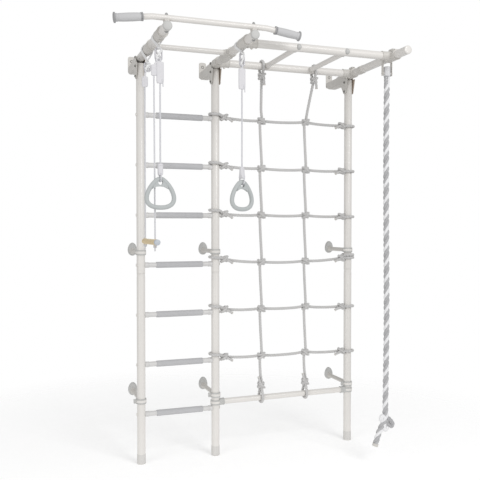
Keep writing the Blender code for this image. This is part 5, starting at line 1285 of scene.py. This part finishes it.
def make_trapeze():
    """Trapeze cords, and the wooden bar with its caps, collars and the knots under it."""
    for which in TRAPEZE_CORDS:
        make_trapeze_cord(which)
    bar = Form()
    start = place(TRAPEZE_X, 0, TRAPEZE_Z)
    rear, front = TRAPEZE_SPAN
    cap = front - 22
    wood = [(rear + 2.4, 10.8), (rear + 3, TRAPEZE_RADIUS)]
    wood += [(cap - 1.2, TRAPEZE_RADIUS), (cap - 0.8, TRAPEZE_RADIUS - 0.9)]
    rear_cap = [(rear, 0), (rear, 10.6), (rear + 1, 12), (rear + 4, 12.9)]
    front_cap = [(cap - 1, 11), (cap, 12.1), (cap + 0.6, 13.2)]
    front_cap += [(front - 4, 13.2), (front - 1.2, 11.8), (front, 9.0), (front, 0)]
    for profile, look in ((wood, 0), (rear_cap, 3), (front_cap, 1)):
        turned(bar, profile, start, FORWARD, look)
    collar = [(0, 6.4), (1.0, 6.2), (1.0, 4.3), (-2, 4.3)]
    knot_z = TRAPEZE_Z - TRAPEZE_RADIUS - 6.0
    for cord in TRAPEZE_CORDS.values():
        forward = cord[5]
        turned(bar, collar, place(TRAPEZE_X, forward, TRAPEZE_Z + 12.6), UP, 0, 24)
        for tilt in (0.5, -0.6):
            line = []
            for angle in around(18):
                dx = 5.2 * math.cos(angle)
                line.append(place(TRAPEZE_X + dx, forward + 5.2 * math.sin(angle), knot_z + dx * tilt))
            laid_rope(bar, line, 3.6, 14.0, (2, 2, 2), closed=True)
        tail = curve(SHORT_STEP, (TRAPEZE_X, forward, knot_z), (TRAPEZE_X - 1, forward + 2, knot_z - 12),
                     (TRAPEZE_X - 1, forward + 3, knot_z - 21))
        laid_rope(bar, tail, 3.8, CORD_TWIST, (2, 2, 2))
    bar.stand_in("trapeze_bar", "turned_wood cap_plastic braided_cord dark_rubber", "trapeze_bar")


# Climbing rope

def make_yoke():
    """Strap over the right arm whose two legs hold the rope's pin."""
    x = POST_X["right"]
    seat = ARM_RADIUS + 1.9
    heights = (PIN_Z - 12, PIN_Z, PIN_Z + 20, PIN_Z + 40, ARM_Z - 18)
    line = [place(x + YOKE_HALF, ROPE_FORWARD, z) for z in heights]
    for degrees in range(0, 181, 9):
        angle = math.radians(degrees)
        wide = seat + (YOKE_HALF - seat) * abs(math.cos(angle)) ** 3
        line.append(place(x + wide * math.cos(angle), ROPE_FORWARD, ARM_Z + seat * math.sin(angle)))
    line += [place(x - YOKE_HALF, ROPE_FORWARD, z) for z in reversed(heights)]
    form = Form()
    ribbon(form, line, 16.0, 3.0, FORWARD)
    turned(form, [(-YOKE_HALF, 5), (YOKE_HALF, 5)], place(x, ROPE_FORWARD, PIN_Z), RIGHT, 0, 24)
    bolt_pair(form, x, ROPE_FORWARD, PIN_Z, YOKE_HALF + 1.2, 6.4, 4.4)
    dome_bolt(form, place(x - YOKE_HALF - 1.2, ROPE_FORWARD, ARM_Z - 8), LEFT, 5.6, 4.6)
    form.stand_in("rope_yoke", "grey_paint", "rope_yoke")


def make_rope():
    """Climbing rope with its sheath, the two strands over the pin and the knot near its foot."""
    x = POST_X["right"]
    twist = chosen().rope_twist / MM
    fibres = "grey_fibre white_fibre"
    sheath = Form()
    barrel = [(0, 12.5), (0, 15.6), (1.0, 16.8), (3.0, 17.3)]
    barrel += [(42.0, 17.3), (44.5, 16.8), (46.0, 15.4), (46.6, 12.0)]
    turned(sheath, barrel, place(x, ROPE_FORWARD, SHEATH_FOOT), UP, 0, 40)
    sheath.build("rope_sheath_form", "sheath_plastic", ["rope_ferrule"], "climbing_rope")
    line = curve(5.0, *[(x + dx, ROPE_FORWARD, z) for dx, z in ROPE_ROUTE])
    rope = Form()
    laid_rope(rope, line, ROPE_RADIUS, twist, (0, 0, 1), 14)
    tip = (line[-1] - line[-2]).normalized()
    turned(rope, [(-12, 13.9), (-11, 14.9), (0.5, 14.9), (2.2, 13.6), (2.8, 11.0)], line[-1], tip, 2, 32)
    piece = rope.stand_in("climbing_rope", fibres + " grey_paint", "climbing_rope", ROPE_SHARP)
    legs = Form()
    # Left leg in grey fibre, right leg in white fibre: the grey on the left is painted shade on the side away
    # from the key lamp
    for way, look in ((-1, 0), (1, 1)):
        spots = ((9, 0, 1945), (8.8, 0, 1928), (7.6, 1.0, 1910), (5.5, 3, 1895))
        leg = curve(SHORT_STEP, *[(x + way * dx, ROPE_FORWARD + way * ahead, z) for dx, ahead, z in spots])
        laid_rope(legs, leg, 7.4, 46.0, (look, look, look), 10)
    legs_piece = legs.build("climbing_rope_legs", fibres, (), "climbing_rope", ROPE_SHARP)
    knot = Form()
    for number, (bulge, lobe) in enumerate(ROPE_LOBES):
        spots = []
        for index, (dx, dz) in enumerate(lobe):
            swell = math.sin(math.pi * index / (len(lobe) - 1))
            spots.append((x + 2 + dx, ROPE_FORWARD - 4 + bulge * swell, ROPE_KNOT_Z + 2 + dz))
        if number == 1:
            laid_rope(knot, curve(LONG_STEP, *spots), ROPE_RADIUS * 0.86, twist * 0.5, sides=12)
        else:
            tube(knot, curve(SHORT_STEP, *spots), LOBE_RADIUS, 1, rounded=True)
    knot_piece = knot.build("climbing_rope_knot", fibres, (), "climbing_rope", ROPE_SHARP)


# Stage

def make_stage():
    """Pale floor, white surroundings, two lamps and the camera."""
    scene = bpy.context.scene
    floor_mesh = bpy.data.meshes.new("floor")
    corners = [(-FLOOR_REACH, -FLOOR_REACH, 0), (FLOOR_REACH, -FLOOR_REACH, 0), (FLOOR_REACH, FLOOR_REACH, 0),
               (-FLOOR_REACH, FLOOR_REACH, 0)]
    floor_mesh.from_pydata(corners, [], [(0, 1, 2, 3)])
    floor = bpy.data.objects.new("floor", floor_mesh)
    scene.collection.objects.link(floor)
    pale = bpy.data.materials.new("pale_floor")
    pale.use_nodes = True
    nodes = Nodes(pale.node_tree)
    shader = pale.node_tree.nodes["Principled BSDF"]
    for key, value in (("Base Color", (0.9, 0.9, 0.9, 1.0)), ("Emission Color", (1.0, 1.0, 1.0, 1.0)),
                       ("Emission Strength", 0.26), ("Roughness", 0.9)):
        shader.inputs[key].default_value = value
    spot = nodes.spot()
    away = nodes.add("ShaderNodeVectorMath", {0: spot}, operation="LENGTH").outputs["Value"]
    fade = nodes.add("ShaderNodeMapRange", {0: away, 1: 0.9, 2: 2.2, 3: 1.0, 4: 0.0}).outputs[0]
    pale.node_tree.links.new(fade, shader.inputs["Alpha"])
    floor_mesh.materials.append(pale)
    world = scene.world or bpy.data.worlds.new("white_world")
    scene.world = world
    world.use_nodes = True
    world.node_tree.nodes.clear()
    nodes = Nodes(world.node_tree)
    path = nodes.add("ShaderNodeLightPath")
    seen = nodes.maths("MAXIMUM", path.outputs["Is Camera Ray"], path.outputs["Is Transmission Ray"])
    lit = nodes.add("ShaderNodeBackground", {"Color": (1, 1, 1, 1), "Strength": chosen().sky_strength})
    white = nodes.add("ShaderNodeBackground", {"Color": (1, 1, 1, 1), "Strength": 1.0})
    mixed = nodes.add("ShaderNodeMixShader", {0: seen, 1: lit.outputs[0], 2: white.outputs[0]})
    nodes.add("ShaderNodeOutputWorld", {"Surface": mixed.outputs[0]})
    for name, (stand, size) in LAMPS.items():
        data = bpy.data.lights.new(name + "_lamp", "AREA")
        data.size = size
        data.energy = getattr(chosen(), name + "_power")
        lamp = bpy.data.objects.new(name + "_lamp", data)
        lamp.location = stand
        lamp.rotation_euler = (Vector(LAMP_AIM) - Vector(stand)).to_track_quat("-Z", "Y").to_euler()
        scene.collection.objects.link(lamp)
    camera_data = bpy.data.cameras.new("view")
    camera_data.lens = CAMERA_LENS
    camera_data.sensor_width = 36.0
    camera = bpy.data.objects.new("view", camera_data)
    camera.location = CAMERA_PLACE
    camera.rotation_euler = (math.radians(90 + CAMERA_PITCH), 0.0, math.radians(-CAMERA_YAW))
    scene.collection.objects.link(camera)
    scene.camera = camera
    scene.view_settings.view_transform = "Standard"


# Add-on

class WallBarsSettings(bpy.types.PropertyGroup):
    """Sizes and levels of the detailed pieces and of the stage."""

    tube_sides: bpy.props.IntProperty(
        name="Tube sides", description="Faces round each steel tube", default=44, min=12, max=96)
    grip_flutes: bpy.props.IntProperty(
        name="Grip flutes", description="Grooves round each rung's grip sleeve", default=18, min=6, max=40)
    rope_twist: bpy.props.FloatProperty(
        name="Rope twist", description="Length of one full turn of the climbing rope's strands",
        default=0.079, min=0.03, max=0.3, unit="LENGTH")
    net_twist: bpy.props.FloatProperty(
        name="Net rope twist", description="Length of one full turn of the net rope's strands",
        default=0.044, min=0.02, max=0.2, unit="LENGTH")
    net_sag: bpy.props.FloatProperty(
        name="Net sag", description="How far each span of the net's cross ropes hangs down",
        default=0.005, min=0.0, max=0.05, unit="LENGTH")
    sky_strength: bpy.props.FloatProperty(
        name="Sky strength", description="Light from all round the object", default=0.61, min=0.0, max=3.0)
    key_power: bpy.props.FloatProperty(
        name="Key lamp", description="Power of the lamp in front, to the right",
        default=86.0, min=0.0, max=2000.0, unit="POWER")
    fill_power: bpy.props.FloatProperty(
        name="Fill lamp", description="Power of the lamp on the left",
        default=34.0, min=0.0, max=2000.0, unit="POWER")


# Each operator's name, its label and the function that it runs, in order
STEPS = (
    ("posts", "Posts", make_posts),
    ("rungs", "Ladder rungs", make_rungs),
    ("brackets", "Wall brackets", make_brackets),
    ("standoffs", "Stand-offs", make_standoffs),
    ("arms", "Arms", make_arms),
    ("cross_tube", "Cross tube", make_cross_tube),
    ("rails", "Rails", make_rails),
    ("overhead_rungs", "Overhead rungs", make_overhead_rungs),
    ("pull_up_bar", "Pull-up bar", make_pull_up_bar),
    ("net_bar", "Net bar", make_net_bar),
    ("net", "Climbing net", make_net),
    ("slings", "Slings", make_slings),
    ("rings", "Rings", make_rings),
    ("trapeze", "Trapeze", make_trapeze),
    ("yoke", "Rope hanger", make_yoke),
    ("rope", "Climbing rope", make_rope),
    ("stage", "Stage", make_stage),
)


def step_operator(key, label, work):
    """Operator class that makes one group of pieces, described as its function is."""

    def execute(self, context):
        work()
        self.report({"INFO"}, label + " made")
        return {"FINISHED"}

    return type("WALLBARS_OT_" + key, (bpy.types.Operator,), {
        "__doc__": work.__doc__, "bl_idname": "wall_bars." + key, "bl_label": label,
        "bl_options": {"REGISTER", "UNDO"}, "execute": execute})


OPERATORS = [step_operator(*step) for step in STEPS]


class WALLBARS_PT_panel(bpy.types.Panel):
    """Settings and steps in the 3D view's sidebar."""

    bl_label = "Wall bars"
    bl_idname = "WALLBARS_PT_panel"
    bl_space_type = "VIEW_3D"
    bl_region_type = "UI"
    bl_category = "Wall bars"

    def draw(self, context):
        settings = context.scene.wall_bars
        for name in WallBarsSettings.__annotations__:
            self.layout.prop(settings, name)
        for operator in OPERATORS:
            self.layout.operator(operator.bl_idname)


CLASSES = [WallBarsSettings] + OPERATORS + [WALLBARS_PT_panel]


def register():
    """Register the settings, the operators and the panel."""
    for item in CLASSES:
        bpy.utils.register_class(item)
    bpy.types.Scene.wall_bars = bpy.props.PointerProperty(type=WallBarsSettings)


def unregister():
    """Take them away again."""
    del bpy.types.Scene.wall_bars
    for item in reversed(CLASSES):
        bpy.utils.unregister_class(item)


def main():
    """Run every step in order and write the sizes of the CAD and of the pieces."""
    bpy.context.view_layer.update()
    register()
    for key, label, work in STEPS:
        getattr(bpy.ops.wall_bars, key)()


if __name__ == "__main__":
    main()
